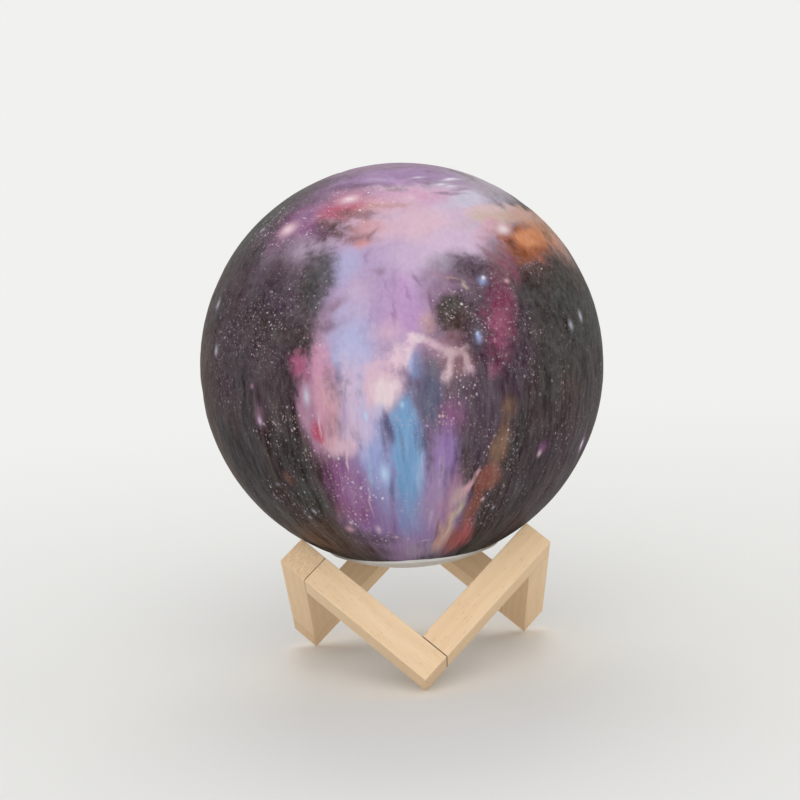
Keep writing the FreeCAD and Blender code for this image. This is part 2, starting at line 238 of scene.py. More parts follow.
def floor_material():
    """Pale table, whose far part takes the wall's colour and whose underside is clear."""
    material, tree, sockets = new_material("pale_table")
    place = own_place(tree)
    grain = ramp(tree, noise(tree, place, FLOOR_GRAIN, 3.0), 0.3, 0.7)
    fill(tree, sockets, {"Base Color": layer(tree, grain, FLOOR_TINT, FLOOR_SHADE),
                         "Roughness": 0.75, "Specular IOR Level": 0.2})
    away = put(tree, "VectorMath", {0: place}, operation="LENGTH").outputs["Value"]
    far = ramp(tree, away, FADE_START, FADE_END)
    rays = put(tree, "LightPath").outputs
    seen = calc(tree, "MAXIMUM", rays["Is Camera Ray"], rays["Is Glossy Ray"])
    glow = put(tree, "Emission", {"Color": WALL_TINT, "Strength": 1.0}).outputs[0]
    table = tree.nodes["Principled BSDF"].outputs[0]
    faded = mixed_shader(tree, calc(tree, "MULTIPLY", far, seen), table, glow)
    from_below = put(tree, "NewGeometry").outputs["Backfacing"]
    clear = put(tree, "BsdfTransparent").outputs[0]
    fill(tree, tree.nodes["Material Output"].inputs,
         {"Surface": mixed_shader(tree, from_below, faded, clear)})
    return material


bpy.ops.mesh.primitive_circle_add(vertices=FLOOR_STEPS, radius=FLOOR_RADIUS, fill_type="NGON")
floor = bpy.context.active_object
floor.name = "floor"
floor.data.materials.append(floor_material())
print("floor radius:", FLOOR_RADIUS)

# %% [markdown]
# ## Light
#
# Most of the light is the world's. It is even and comes from all sides, so the undersides stay
# pale. A single sun would throw one hard shadow, so there are two wide lamps: the one behind
# throws the broad soft shadow that lies in front of the stand, and the larger one in front
# brightens the faces that look at the camera.

# %% Light the room
WORLD_STRENGTH = 0.60
WORLD_TINT = (1.0, 0.995, 0.98, 1.0)
LIGHT_AIM = Vector((0, 0, 0.08))
# Each lamp's place, width and power.
LAMPS = {
    "back_light": ((0.0, 0.85, 1.15), 0.9, 4.5),
    "front_light": ((0.10, -1.50, 1.10), 1.8, 15.0),
}

world = bpy.data.worlds.new("studio")
world.use_nodes = True
bpy.context.scene.world = world
sky = world.node_tree
sky_rays = put(sky, "LightPath").outputs
sky_seen = calc(sky, "MAXIMUM", calc(sky, "MAXIMUM", sky_rays["Is Camera Ray"],
                                     sky_rays["Is Glossy Ray"]),
                sky_rays["Is Transmission Ray"])
soft_light = put(sky, "Background", {"Color": WORLD_TINT, "Strength": WORLD_STRENGTH}).outputs[0]
white_wall = put(sky, "Background", {"Color": WALL_TINT, "Strength": 1.0}).outputs[0]
fill(sky, sky.nodes["World Output"].inputs,
     {"Surface": mixed_shader(sky, sky_seen, soft_light, white_wall)})


def soft_box(name, place, size, power):
    """A square lamp with a large soft face, turned to the middle of the object."""
    data = bpy.data.lights.new(name, "AREA")
    data.shape = "SQUARE"
    data.size = size
    data.energy = power
    lamp = bpy.data.objects.new(name, data)
    bpy.context.scene.collection.objects.link(lamp)
    aim = LIGHT_AIM - Vector(place)
    turn = aim.to_track_quat("-Z", "Y").to_matrix().to_4x4()
    lamp.matrix_world = Matrix.Translation(Vector(place)) @ turn


for name, (place, size, power) in LAMPS.items():
    soft_box(name, place, size, power)
print("lamps:", len(LAMPS), "world strength:", WORLD_STRENGTH)

# %% [markdown]
# ## The ball's relief
#
# The real ball is printed in thin layers with a low moon relief: shallow round craters and
# gentle swells, less than a millimetre deep. It could be painted as bump only, but then the
# outline would stay a perfect circle and the exported mesh a plain ball. So the relief is real:
# an even ball of small triangles is pushed inwards by three Displace modifiers, never outwards,
# because 150 mm is the size over everything. The textures are the old procedural kind that
# Displace reads, and a colour ramp turns a cell's distance into a crater's profile.

# %% Textures of the relief
SWELL_SIZE = 16 * MM
SWELL_DEPTH = 0.30 * MM
# A cell's size, where in it the floor ends and the rim peaks, the level outside, and the depth.
CRATERS = {
    "large_craters": (15 * MM, 0.26, 0.40, 0.75, 0.32 * MM),
    "small_craters": (6 * MM, 0.22, 0.38, 0.80, 0.18 * MM),
}
CRATER_MIDDLE = 0.12
CRATER_FLOOR = 0.10
RIM_WIDTH = 0.10
RIM_FOOT = 0.05


def crater_texture(name, size, floor_end, rim_place, outside_level):
    """Round pits with a raised rim, as a profile over the distance to each cell's middle."""
    texture = bpy.data.textures.new(name, "VORONOI")
    texture.noise_scale = size
    texture.use_color_ramp = True
    profile = texture.color_ramp
    profile.interpolation = "B_SPLINE"
    levels = [(0.0, CRATER_MIDDLE), (floor_end, CRATER_FLOOR), (rim_place, 1.0),
              (rim_place + RIM_WIDTH, outside_level + RIM_FOOT), (1.0, outside_level)]
    while len(profile.elements) < len(levels):
        profile.elements.new(0.5)
    for element, (place, level) in zip(profile.elements, levels):
        element.position = place
        element.color = (level, level, level, 1.0)
    return texture


swells = bpy.data.textures.new("swells", "CLOUDS")
swells.noise_scale = SWELL_SIZE
swells.noise_depth = 3
relief = [(swells, SWELL_DEPTH)]
for name, (size, floor_end, rim_place, outside_level, depth) in CRATERS.items():
    relief.append((crater_texture(name, size, floor_end, rim_place, outside_level), depth))
print("layers of relief:", [texture.name for texture, depth in relief])

# %% Shape the ball
GLOBE_WALL = 1.6 * MM
BALL_SUBDIVISIONS = 7
INNER_SUBDIVISIONS = 5
OPENING_STEPS = 192
SMOOTH_ANGLE = math.radians(50)


def push_in(piece, texture, depth):
    """Pushes a surface inwards by up to depth, by this texture, and keeps the result."""
    modifier = piece.modifiers.new("relief", "DISPLACE")
    modifier.texture = texture
    modifier.texture_coords = "LOCAL"
    modifier.mid_level = 1.0
    modifier.strength = depth
    bpy.ops.object.modifier_apply(modifier=modifier.name)


def cut_away(piece, cutter):
    """Takes the cutter's space out of the piece, and deletes the cutter."""
    modifier = piece.modifiers.new("cut", "BOOLEAN")
    modifier.operation = "DIFFERENCE"
    modifier.solver = "MANIFOLD"
    modifier.object = cutter
    bpy.context.view_layer.objects.active = piece
    bpy.ops.object.modifier_apply(modifier=modifier.name)
    bpy.data.objects.remove(cutter)


def shape_ball():
    """The thin ball with its relief, its hollow and its round opening."""
    bpy.ops.mesh.primitive_ico_sphere_add(subdivisions=BALL_SUBDIVISIONS, radius=globe_radius)
    ball = bpy.context.active_object
    ball.name = "relief_globe"
    for texture, depth in relief:
        push_in(ball, texture, depth)
    widest = max(vertex.co.length for vertex in ball.data.vertices)
    ball.data.transform(Matrix.Scale(globe_radius / widest, 4))
    bpy.ops.mesh.primitive_ico_sphere_add(subdivisions=INNER_SUBDIVISIONS,
                                          radius=globe_radius - GLOBE_WALL)
    hollow = bpy.context.active_object
    bpy.ops.mesh.primitive_cylinder_add(vertices=OPENING_STEPS, radius=opening_radius,
                                        depth=globe_radius, location=(0, 0, -globe_radius))
    opening = bpy.context.active_object
    cut_away(ball, hollow)
    cut_away(ball, opening)
    ball.data.transform(Matrix.Translation(globe_centre))
    bpy.ops.object.select_all(action="DESELECT")
    ball.select_set(True)
    bpy.context.view_layer.objects.active = ball
    bpy.ops.object.shade_smooth_by_angle(angle=SMOOTH_ANGLE)
    return ball


ball = shape_ball()
print("ball triangles:", sum(len(face.vertices) - 2 for face in ball.data.polygons))

# %% [markdown]
# ## Laying out the print
#
# The ball carries a printed night sky: a pale lilac cloud in front with pink, rust and blue
# parts, dark starry space round it. A picture wrapped round a ball would need its file, so the
# print is painted by nodes. Every cloud is a soft oval at a longitude and a latitude, like one
# dab of a brush. A Mapping node brings the oval's middle to zero and a spherical Gradient fades
# it out. Noise bends the coordinates first, which gives each dab a cloud's wavy edge.
#
# The renderer holds each number until it is used, and has room for some 250 of them. So the
# masks mustn't all be worked out before the first one is laid on. Ramps that aren't clamped
# (an eased ramp never leaves its ends) and bends made with a Mapping node keep the right order.
#
# On the lower half the real print is drawn out towards the pole, as a flat picture is when it
# is shrunk onto a ball. The coordinates there are widened sideways and squeezed in height.

# %% Coordinates on the ball
DRAWN_FROM, DRAWN_TO = 0.45, -0.25
POLE_GUARD = 1.02
SQUEEZE = 0.38


def ball_place(tree):
    """The direction from the ball's middle, with its radius as one."""
    size = 1 / globe_radius
    centred = put(tree, "Mapping", {"Vector": own_place(tree), "Scale": (size, size, size),
                                    "Location": tuple(-globe_centre * size)})
    return vector_calc(tree, "NORMALIZE", centred.outputs[0])


def drawn_out_group():
    """Widens the lower half sideways and squeezes its height, so that noise draws out there."""
    group, given, result = new_group("drawn_out", [("Vector", "Vector", None)],
                                     [("Vector", "Vector")])
    parts = put(group, "SeparateXYZ", {0: given["Vector"]}).outputs
    low = ramp(group, parts["Z"], DRAWN_FROM, DRAWN_TO)
    ring = calc(group, "SQRT", calc(group, "SUBTRACT", POLE_GUARD,
                                    calc(group, "MULTIPLY", parts["Z"], parts["Z"])))
    widen = put(group, "Mix", {0: low, 2: 1.0, 3: calc(group, "DIVIDE", 1.0, ring)}).outputs[0]
    squeeze = ramp(group, low, 0.0, 1.0, 1.0, SQUEEZE)
    both = put(group, "CombineXYZ", {"X": widen, "Y": widen, "Z": squeeze}).outputs[0]
    fill(group, result, {"Vector": vector_calc(group, "MULTIPLY", given["Vector"], both)})
    return group


drawn_out = drawn_out_group()
print("coordinates drawn out between heights", DRAWN_FROM, "and", DRAWN_TO)

# %% Dabs and glows
DAB_EDGE = 0.12
OVAL_SOCKETS = [("Below", "Color", None), ("Paint", "Color", None), ("Surface", "Vector", None),
                ("Middle", "Vector", None), ("Turn", "Vector", None), ("Reach", "Vector", None),
                ("Cover", "Float", 1.0)]


def oval_group(name, more_sockets, fade):
    """Paint in an oval over the colour below it, as strong as fade makes it of nearness."""
    group, given, result = new_group(name, OVAL_SOCKETS + more_sockets, [("Color", "Color")])
    oval = put(group, "Mapping", {"Vector": given["Surface"], "Location": given["Middle"],
                                  "Rotation": given["Turn"], "Scale": given["Reach"]},
               vector_type="TEXTURE").outputs[0]
    near = put(group, "TexGradient", {"Vector": oval}, gradient_type="SPHERICAL").outputs["Fac"]
    mask = fade(group, near, given)
    fill(group, result, {"Color": layer(group, mask, given["Below"], given["Paint"])})
    return group


def torn_fade(group, near, given):
    """A dab fades over its softness, and noise tears it."""
    return ramp(group, calc(group, "MULTIPLY", near, given["Torn"]), DAB_EDGE,
                calc(group, "ADD", given["Softness"], DAB_EDGE), 0.0, given["Cover"])


def round_fade(group, near, given):
    """A glow has a small bright middle and fades away quickly."""
    return ramp(group, calc(group, "MULTIPLY", near, near), 0.0, 1.0, 0.0, given["Cover"])


cloud_dab = oval_group("cloud_dab", [("Torn", "Float", 1.0), ("Softness", "Float", 0.5)],
                       torn_fade)
round_glow = oval_group("round_glow", [], round_fade)
print("groups of the print:", cloud_dab.name, round_glow.name)

# %% Stars
STAR_LEAST_SIZE = 0.45
STAR_LEAST_LIGHT = 0.55
STAR_CORE = 0.35


def star_group():
    """Small round stars, one in some of the cells, each with its own size and brightness."""
    group, given, result = new_group(
        "stars",
        [("Vector", "Vector", None), ("Scale", "Float", 40.0), ("Size", "Float", 0.3),
         ("Share", "Float", 0.3)],
        [("Mask", "Float")])
    cells = put(group, "TexVoronoi", {"Vector": given["Vector"], "Scale": given["Scale"]})
    chance = put(group, "SeparateColor", {0: cells.outputs["Color"]}).outputs
    size = calc(group, "MULTIPLY", given["Size"],
                ramp(group, chance["Green"], 0.2, 1.2, STAR_LEAST_SIZE, 1.0))
    disc = ramp(group, cells.outputs["Distance"], size, calc(group, "MULTIPLY", size, STAR_CORE))
    lit = calc(group, "LESS_THAN", chance["Red"], given["Share"])
    bright = ramp(group, chance["Blue"], 0.0, 1.0, STAR_LEAST_LIGHT, 1.0)
    fill(group, result,
         {"Mask": calc(group, "MULTIPLY", calc(group, "MULTIPLY", disc, lit), bright)})
    return group


stars = star_group()
print("group of the print:", stars.name)

# %% [markdown]
# ## The painter's plan
#
# The paints are few and muted: night greys, plums, lilacs, pinks, blues, rust and red. They are
# named, so that the plan of dabs below reads as one would paint it, from the wide hazes to the
# small bright places. Each dab gives longitude and latitude in degrees (0, 0 is the middle of
# the front, plus is to the right and up), half its width and height, its paint, how much it
# covers and how soft it is, both in percent, and last its lean to the right if it leans. Glows
# are all equally soft and say no softness. The places where stars crowd say no paint.

# %% Paints
BLACK = (0.0, 0.0, 0.0, 1.0)
NIGHT = srgb(50, 46, 47)
NIGHT_GREEN = srgb(55, 57, 53)
NIGHT_BROWN = srgb(66, 52, 47)
NIGHT_PLUM = srgb(72, 57, 68)
DUSK = srgb(92, 74, 92)
PLUM = srgb(108, 74, 104)
MAGENTA = srgb(136, 82, 128)
CRIMSON = srgb(134, 66, 92)
ROSE = srgb(172, 98, 130)
DUSTY_ROSE = srgb(170, 128, 154)
PINK = srgb(206, 150, 178)
BLUSH = srgb(208, 160, 172)
PALE_PINK = srgb(214, 180, 196)
SHELL = srgb(234, 204, 214)
ORCHID = srgb(188, 146, 194)
THISTLE = srgb(156, 124, 166)
MAUVE = srgb(146, 118, 144)
BROWN_MAUVE = srgb(136, 100, 108)
DUSTY_SALMON = srgb(178, 128, 132)
STONE = srgb(178, 167, 178)
ORCHID_GREY = srgb(160, 136, 172)
LILAC = srgb(180, 156, 192)
PALE_LILAC = srgb(206, 182, 208)
FROST = srgb(196, 194, 212)
PALE_BLUE = srgb(176, 180, 218)
GREY_LILAC = srgb(152, 144, 160)
ASH = srgb(112, 106, 114)
VIOLET = srgb(152, 124, 178)
DUSK_VIOLET = srgb(130, 108, 150)
PERIWINKLE = srgb(152, 164, 212)
STEEL = srgb(130, 148, 194)
RIVER_BLUE = srgb(118, 160, 202)
ICE = srgb(184, 208, 236)
SLATE = srgb(88, 92, 116)
NAVY = srgb(60, 64, 100)
RED = srgb(154, 78, 78)
BRIGHT_RED = srgb(184, 82, 88)
BRICK = srgb(130, 78, 68)
RUST = srgb(162, 88, 46)
DEEP_RUST = srgb(118, 62, 36)
ORANGE = srgb(208, 138, 96)
TAN = srgb(172, 128, 102)
SALMON = srgb(214, 148, 148)
ROSE_GREY = srgb(206, 178, 184)
RASPBERRY = srgb(180, 80, 106)
PEACH = srgb(190, 150, 140)
KHAKI = srgb(200, 180, 164)
UMBER = srgb(114, 86, 70)
OCHRE = srgb(128, 97, 76)
DARK_BROWN = srgb(96, 66, 66)
SPECKLE = srgb(172, 156, 148)
CREAM = srgb(228, 210, 214)
WHITE = srgb(244, 240, 250)
print("night in linear light:", [round(part, 4) for part in NIGHT[:3]])

# %% Wide hazes and the pale middle
HAZES = [
    (0, 8, 62, 66, NIGHT_PLUM, 75, 90), (-52, 18, 34, 42, NIGHT_PLUM, 75, 90),
    (-50, -46, 34, 22, NIGHT_BROWN, 90, 90), (-46, -50, 18, 10, UMBER, 70, 90, -20),
    (-77, -8, 12, 50, UMBER, 25, 90), (60, -32, 34, 34, NIGHT_PLUM, 60, 90),
    (64, 16, 26, 22, NIGHT_GREEN, 50, 90), (22, 84, 60, 19, MAUVE, 90, 80),
    (-82, 52, 30, 26, NIGHT_GREEN, 95, 80), (-50, 66, 22, 10, NIGHT_PLUM, 60, 80, -20),
    (-25, 66, 18, 9, PLUM, 85, 80, -14), (62, 61, 42, 15, STONE, 85, 70),
    (-42, 51, 19, 12, PLUM, 90, 70, -25),
]
HEART = [
    (0, 30, 30, 44, MAUVE, 85, 50), (8, 50, 44, 20, PALE_LILAC, 95, 45),
    (-8, 26, 18, 30, LILAC, 95, 40), (8, 71, 28, 10, THISTLE, 90, 70),
    (3, 59, 24, 7, PINK, 65, 80), (22, 55, 13, 6, PINK, 45, 90),
    (2, 47, 22, 9, PALE_PINK, 85, 70), (-10, 54, 14, 6, BLUSH, 75, 80),
    (-12, 47, 9, 4, BLUSH, 70, 80), (38, 54, 16, 6, FROST, 80, 80, -8),
    (33, 49, 13, 3, PALE_PINK, 70, 80), (-16, 34, 7, 7, PALE_BLUE, 60, 80),
    (-12, 24, 6, 9, PALE_LILAC, 60, 90), (1, 22, 11, 12, ORCHID, 75, 80),
    (3, 28, 3, 8, ORCHID, 50, 90, 10), (5, 37, 11, 9, PALE_LILAC, 60, 80),
    (12, 45, 12, 7, PALE_PINK, 60, 80), (22, 41, 11, 5, PALE_LILAC, 70, 80),
    (-14, 12, 10, 16, PALE_BLUE, 85, 70), (-18, 23, 6, 3.4, MAUVE, 75, 80, -30),
    (-21, 18, 4, 6, DUSTY_ROSE, 55, 90, -25), (-5.4, 32, 2.6, 2, MAUVE, 75, 80, -30),
    (-1, 30, 1.6, 5, THISTLE, 50, 90, 5), (-3, 15, 7, 6, PALE_PINK, 60, 90),
    (-9, 68, 9, 3, LILAC, 60, 90), (-4, 63.5, 7, 2.2, SHELL, 50, 90, 10),
    (5, 66, 12, 3, ORCHID, 50, 90), (20, 65, 5, 1.6, MAGENTA, 50, 90, 10),
    (8, 57, 4, 3, SHELL, 40, 90),
]

# %% Upper left and upper right
LEFT_CREST = [
    (-38, 52, 16, 9, MAGENTA, 70, 80, -35), (-44, 42, 9, 6, PLUM, 70, 80, -20),
    (-27, 64.5, 12, 4, PLUM, 80, 90, -15), (-21, 60, 11, 6, DUSTY_ROSE, 90, 80),
    (-24, 57, 9, 5.4, ROSE, 95, 70, -10), (-25, 53.5, 8, 4.4, RASPBERRY, 95, 80, -12),
    (-13, 56, 8, 3, BLUSH, 80, 80, -5), (-27, 49, 7, 4.4, RED, 60, 90),
    (-15, 45.5, 7, 6, DUSTY_SALMON, 85, 80), (-25, 45.6, 8, 6, DARK_BROWN, 90, 70),
    (-30, 44, 7, 5, PLUM, 70, 80, -20), (-23.5, 54.6, 8, 3.8, RASPBERRY, 80, 90, -14),
    (-15, 52, 11, 2.4, BROWN_MAUVE, 75, 80, 12), (-4, 54.5, 11, 1.6, TAN, 45, 90, 4),
    (-12, 46.5, 6, 4, BLUSH, 75, 80), (-14, 42.5, 8, 2.8, BROWN_MAUVE, 70, 80),
    (-11.5, 41, 3.2, 3.4, SALMON, 75, 90, 10), (-9, 44, 1.2, 3.2, BROWN_MAUVE, 60, 80, 25),
    (-36, 47, 5, 7, MAGENTA, 70, 80, -20), (-32.5, 41.5, 3.4, 2.8, MAUVE, 80, 80),
    (-26, 30, 7.5, 14, NIGHT_GREEN, 85, 60), (-39, 31, 13, 12, NIGHT_PLUM, 75, 80),
    (-41, 20, 14, 13, NIGHT, 40, 90), (-35, 25, 9, 8, DUSK, 40, 90),
    (-26, 15, 5.5, 11, NIGHT_BROWN, 65, 80), (-52, 31, 9, 8, DUSK, 35, 90, -20),
]
RUST_CLOUD = [
    (70, 42, 24, 9, TAN, 85, 70, 6), (76, 34, 14, 10, PEACH, 60, 80),
    (50, 47.5, 22, 5.4, KHAKI, 95, 70), (66, 46, 16, 5, PEACH, 90, 70, 4),
    (47, 49.5, 12, 4, PALE_PINK, 50, 90), (36, 42, 8, 4, BLUSH, 75, 80, -35),
    (35, 33, 7, 12, BROWN_MAUVE, 85, 70, 25), (37, 31, 5, 9, CRIMSON, 70, 80, 20),
    (50, 36.5, 13, 8, RUST, 95, 50), (62, 38.5, 13, 6, ORANGE, 75, 80, 10),
    (53, 38, 7, 4.6, ORANGE, 95, 70, -15), (45, 33, 6, 3.6, DEEP_RUST, 75, 80, -10),
    (49, 41, 6, 2.2, DEEP_RUST, 70, 80, -8), (57, 33.5, 7, 2.4, DEEP_RUST, 50, 90, 20),
    (43, 36.5, 3.4, 3.4, DARK_BROWN, 80, 80), (41, 31.5, 4, 3.4, BRICK, 70, 80),
    (46, 28.5, 12, 2.4, DARK_BROWN, 60, 90),
]

# %% The stream and its banks
STREAM = [
    (-3, -37, 19, 36, VIOLET, 85, 50), (-14, -10, 7, 20, THISTLE, 60, 80),
    (-10, -18, 6, 25, PERIWINKLE, 90, 60), (-10, -36, 6, 14, DUSK_VIOLET, 45, 90),
    (-1, -19, 5.5, 22, RIVER_BLUE, 95, 50), (-1, -38, 5, 14, STEEL, 70, 80),
    (6, -30, 5, 24, ORCHID_GREY, 85, 70), (-2, -54, 15, 11, ORCHID_GREY, 70, 80),
    (5, -56, 6, 8, GREY_LILAC, 50, 90), (-14, -3, 7.5, 16, PALE_LILAC, 95, 60),
    (-12, -2, 4, 12, PALE_BLUE, 60, 90), (-6, 3, 7.5, 9.5, PALE_PINK, 95, 60, 22),
    (-5, 1, 5, 6, CREAM, 85, 80, 25), (-7.4, -3.6, 3.4, 3, PALE_BLUE, 60, 90),
    (-1, 9, 5, 5, SHELL, 70, 80, 25), (3, 4, 3, 8, STEEL, 70, 80, 12),
    (2.2, 7, 1.6, 4.6, PALE_BLUE, 60, 90, 10), (-18.4, 4, 1.8, 4.4, DUSK_VIOLET, 60, 90, 4),
    (-16.4, -4, 1.4, 6, VIOLET, 50, 90), (-5.4, -9, 1.5, 7, NAVY, 75, 80, -6),
    (-6.4, -28, 1.3, 8, NAVY, 55, 90, 4), (-6.8, -42, 1.2, 7, DUSK_VIOLET, 60, 90, 4),
    (-2.6, -14, 0.9, 8, SLATE, 40, 90, -2), (1.4, -22, 0.9, 10, ICE, 30, 90),
    (-11.6, -22, 0.9, 10, ICE, 35, 90, 2),
]
LEFT_BANK = [
    (-19, -30, 9, 18, MAGENTA, 85, 70), (-15, -26, 4, 13, THISTLE, 50, 90),
    (-23.6, -4, 6.6, 18, DUSTY_ROSE, 95, 50), (-22.4, 8, 4, 11, PINK, 75, 80),
    (-28.6, 7.5, 4.4, 6.5, ROSE, 85, 80, -8), (-25.5, 4, 1.4, 2.6, CRIMSON, 50, 90),
    (-20.6, -4, 3.8, 13, BLUSH, 90, 70), (-23, -5, 2.4, 8, PINK, 50, 90),
    (-18.4, -14, 5, 4.6, PALE_PINK, 95, 80, 20), (-21, -13, 4, 4, BLUSH, 60, 90),
    (-24, -10.6, 2.2, 4.6, RASPBERRY, 90, 80, -8), (-28.6, -13, 3, 8, NIGHT_BROWN, 70, 80, -12),
    (-16, -48, 9, 5.5, NIGHT_PLUM, 70, 80), (-26, -55, 13, 7, NIGHT_BROWN, 85, 80),
    (-36, -19, 11, 18, NIGHT, 80, 70), (-31, -31, 8, 9, NIGHT_GREEN, 85, 70),
    (-38, -24, 2.4, 4, BRICK, 40, 90, -20), (-32, -47, 12, 8, NIGHT_BROWN, 80, 80),
    (-23.6, -36, 2.4, 5, BROWN_MAUVE, 60, 90, 10),
]
RIGHT_BANK = [
    (26, 8, 14, 27, NIGHT_PLUM, 95, 50), (18, -8, 13, 18, DUSK, 70, 80),
    (28, 17, 7, 14, CRIMSON, 75, 70, 8), (27, 13, 3.4, 6, ROSE, 40, 90, 10),
    (25, 4, 3, 3, ROSE, 30, 90), (22, 32.5, 7.5, 5.6, NIGHT_PLUM, 85, 70, 20),
    (15, 34, 6, 3.4, GREY_LILAC, 60, 80), (12, 26, 8, 4, MAUVE, 60, 90),
    (15.5, 18.5, 6.4, 8, NIGHT_BROWN, 90, 70), (15, 21, 4, 4, NIGHT_GREEN, 60, 80),
    (8.4, 17, 3.4, 6, PEACH, 55, 90), (14, 11.4, 5.6, 3, BROWN_MAUVE, 70, 90),
    (13.6, 6, 6.4, 5.4, BROWN_MAUVE, 70, 80), (6, -1, 4.4, 11, SLATE, 90, 60, 6),
    (8, 5, 3, 4, ASH, 60, 90), (12, -8, 5, 7, MAGENTA, 75, 80),
    (9.5, -17, 5.4, 10, VIOLET, 80, 80, 5), (19.5, -13, 5.4, 10, NIGHT_PLUM, 80, 80),
    (28.4, -6, 3.6, 6, UMBER, 90, 70), (26.6, -17, 4, 9.5, OCHRE, 95, 70, 8),
    (33, -12, 3, 16, NIGHT_GREEN, 60, 80, 6), (12.4, -31, 5, 14, DUSTY_ROSE, 80, 80, 12),
    (14.6, -31, 3, 6, KHAKI, 45, 90, 16), (24, -26.5, 4.8, 5.4, BRICK, 95, 60, 20),
    (20.2, -37, 2.9, 9, BRICK, 85, 70, 12), (18.6, -51, 4.6, 12, RED, 90, 60, 4),
    (20.6, -49, 1.8, 7, BRIGHT_RED, 50, 90, 2), (14.2, -51, 2.6, 11, BRICK, 60, 90, 4),
    (11.2, -47, 2.8, 14, PEACH, 90, 70, 8),
]

# %% Threads and glows
THREADS = [
    (9, 10.4, 8, 3.6, DUSTY_ROSE, 45, 90, 30), (14.6, 6, 6, 5.4, BROWN_MAUVE, 60, 90),
    (2.6, 13, 2.2, 2.8, SHELL, 70, 90, 20), (5, 13.3, 3.2, 1.6, CREAM, 70, 90, 26),
    (7.8, 11.3, 3.4, 2.2, PALE_PINK, 80, 90, 36), (10.8, 9.2, 3.8, 2.4, ROSE_GREY, 75, 90, 26),
    (13.6, 8.6, 3.2, 1.8, ROSE_GREY, 50, 90), (1.2, 9.4, 1.4, 5.4, SHELL, 70, 90, 12),
    (11.9, 5.6, 1.7, 3.2, ROSE_GREY, 70, 90, 14), (11, 3, 2.2, 3.4, SHELL, 75, 90, 12),
    (16.6, 6.4, 1.3, 2.8, ROSE_GREY, 60, 90, -4), (17.4, 3.8, 1.7, 2.6, PALE_PINK, 60, 90, -14),
    (15.8, 3.8, 1.1, 2.4, ROSE_GREY, 40, 90, 14), (16.4, 9.8, 2, 1.2, ROSE_GREY, 40, 90, -40),
    (-9.6, 36.6, 0.9, 3.2, THISTLE, 60, 90), (-7, 32.4, 2, 1.4, MAUVE, 50, 90, -30),
    (-3.6, 27.8, 0.9, 3.6, THISTLE, 60, 90, -14), (-1.6, 21, 1, 5.4, MAGENTA, 55, 90, 4),
    (-8.2, 19.4, 0.9, 3.4, THISTLE, 60, 90, 16), (-5.6, 24, 0.6, 3.4, THISTLE, 50, 90, 30),
    (2.4, 25, 0.6, 4.4, DUSK_VIOLET, 45, 90, -8), (5.8, 28.6, 0.9, 3.6, PLUM, 50, 90, -22),
    (8.8, 22.4, 1.2, 4.6, PLUM, 65, 90), (-18.4, 22.6, 3, 1.4, BROWN_MAUVE, 50, 90, -30),
    (19.4, 26.2, 1.2, 2.6, KHAKI, 80, 80, -30), (16.4, 28.4, 3.4, 0.8, PEACH, 70, 80, 24),
    (12, 30, 3.2, 0.7, DUSTY_ROSE, 60, 80, 30), (17.4, -29, 1.2, 5.4, BLUSH, 90, 80, 22),
    (15, -37, 1.4, 6, KHAKI, 80, 80, 16), (12.2, -46, 1, 7, KHAKI, 70, 80, 10),
    (10, -57, 0.9, 6, KHAKI, 50, 90, 4), (8.2, -46, 0.7, 8, UMBER, 60, 80, 4),
    (21.4, -45, 0.7, 7, DARK_BROWN, 50, 90, 6), (19.6, -24.8, 0.7, 2.4, BLUSH, 70, 80, 10),
    (-24, 47, 1, 4.4, NIGHT, 50, 80, 30), (-20, 53, 0.8, 3, DARK_BROWN, 50, 90, 40),
    (27, 57.5, 5, 1, MAUVE, 70, 90, 10), (33, 57.5, 6, 1, MAUVE, 60, 90, 5),
    (39, 59, 6, 1, MAUVE, 60, 90), (-26, 9, 0.5, 6, DUSTY_ROSE, 50, 90, -10),
    (-23.6, -8, 0.5, 5, CREAM, 50, 90), (-17.6, -18, 0.5, 5, SHELL, 50, 90, 4),
    (-20.6, -26, 0.6, 6, THISTLE, 60, 90, 4), (-13.4, -31, 0.5, 7, PALE_LILAC, 50, 90, 2),
    (3.4, -20, 0.6, 9, PALE_LILAC, 50, 90), (8.6, -22, 0.6, 7, PALE_LILAC, 50, 90, 6),
    (5.6, -40, 0.5, 9, PALE_LILAC, 40, 90, 4),
]
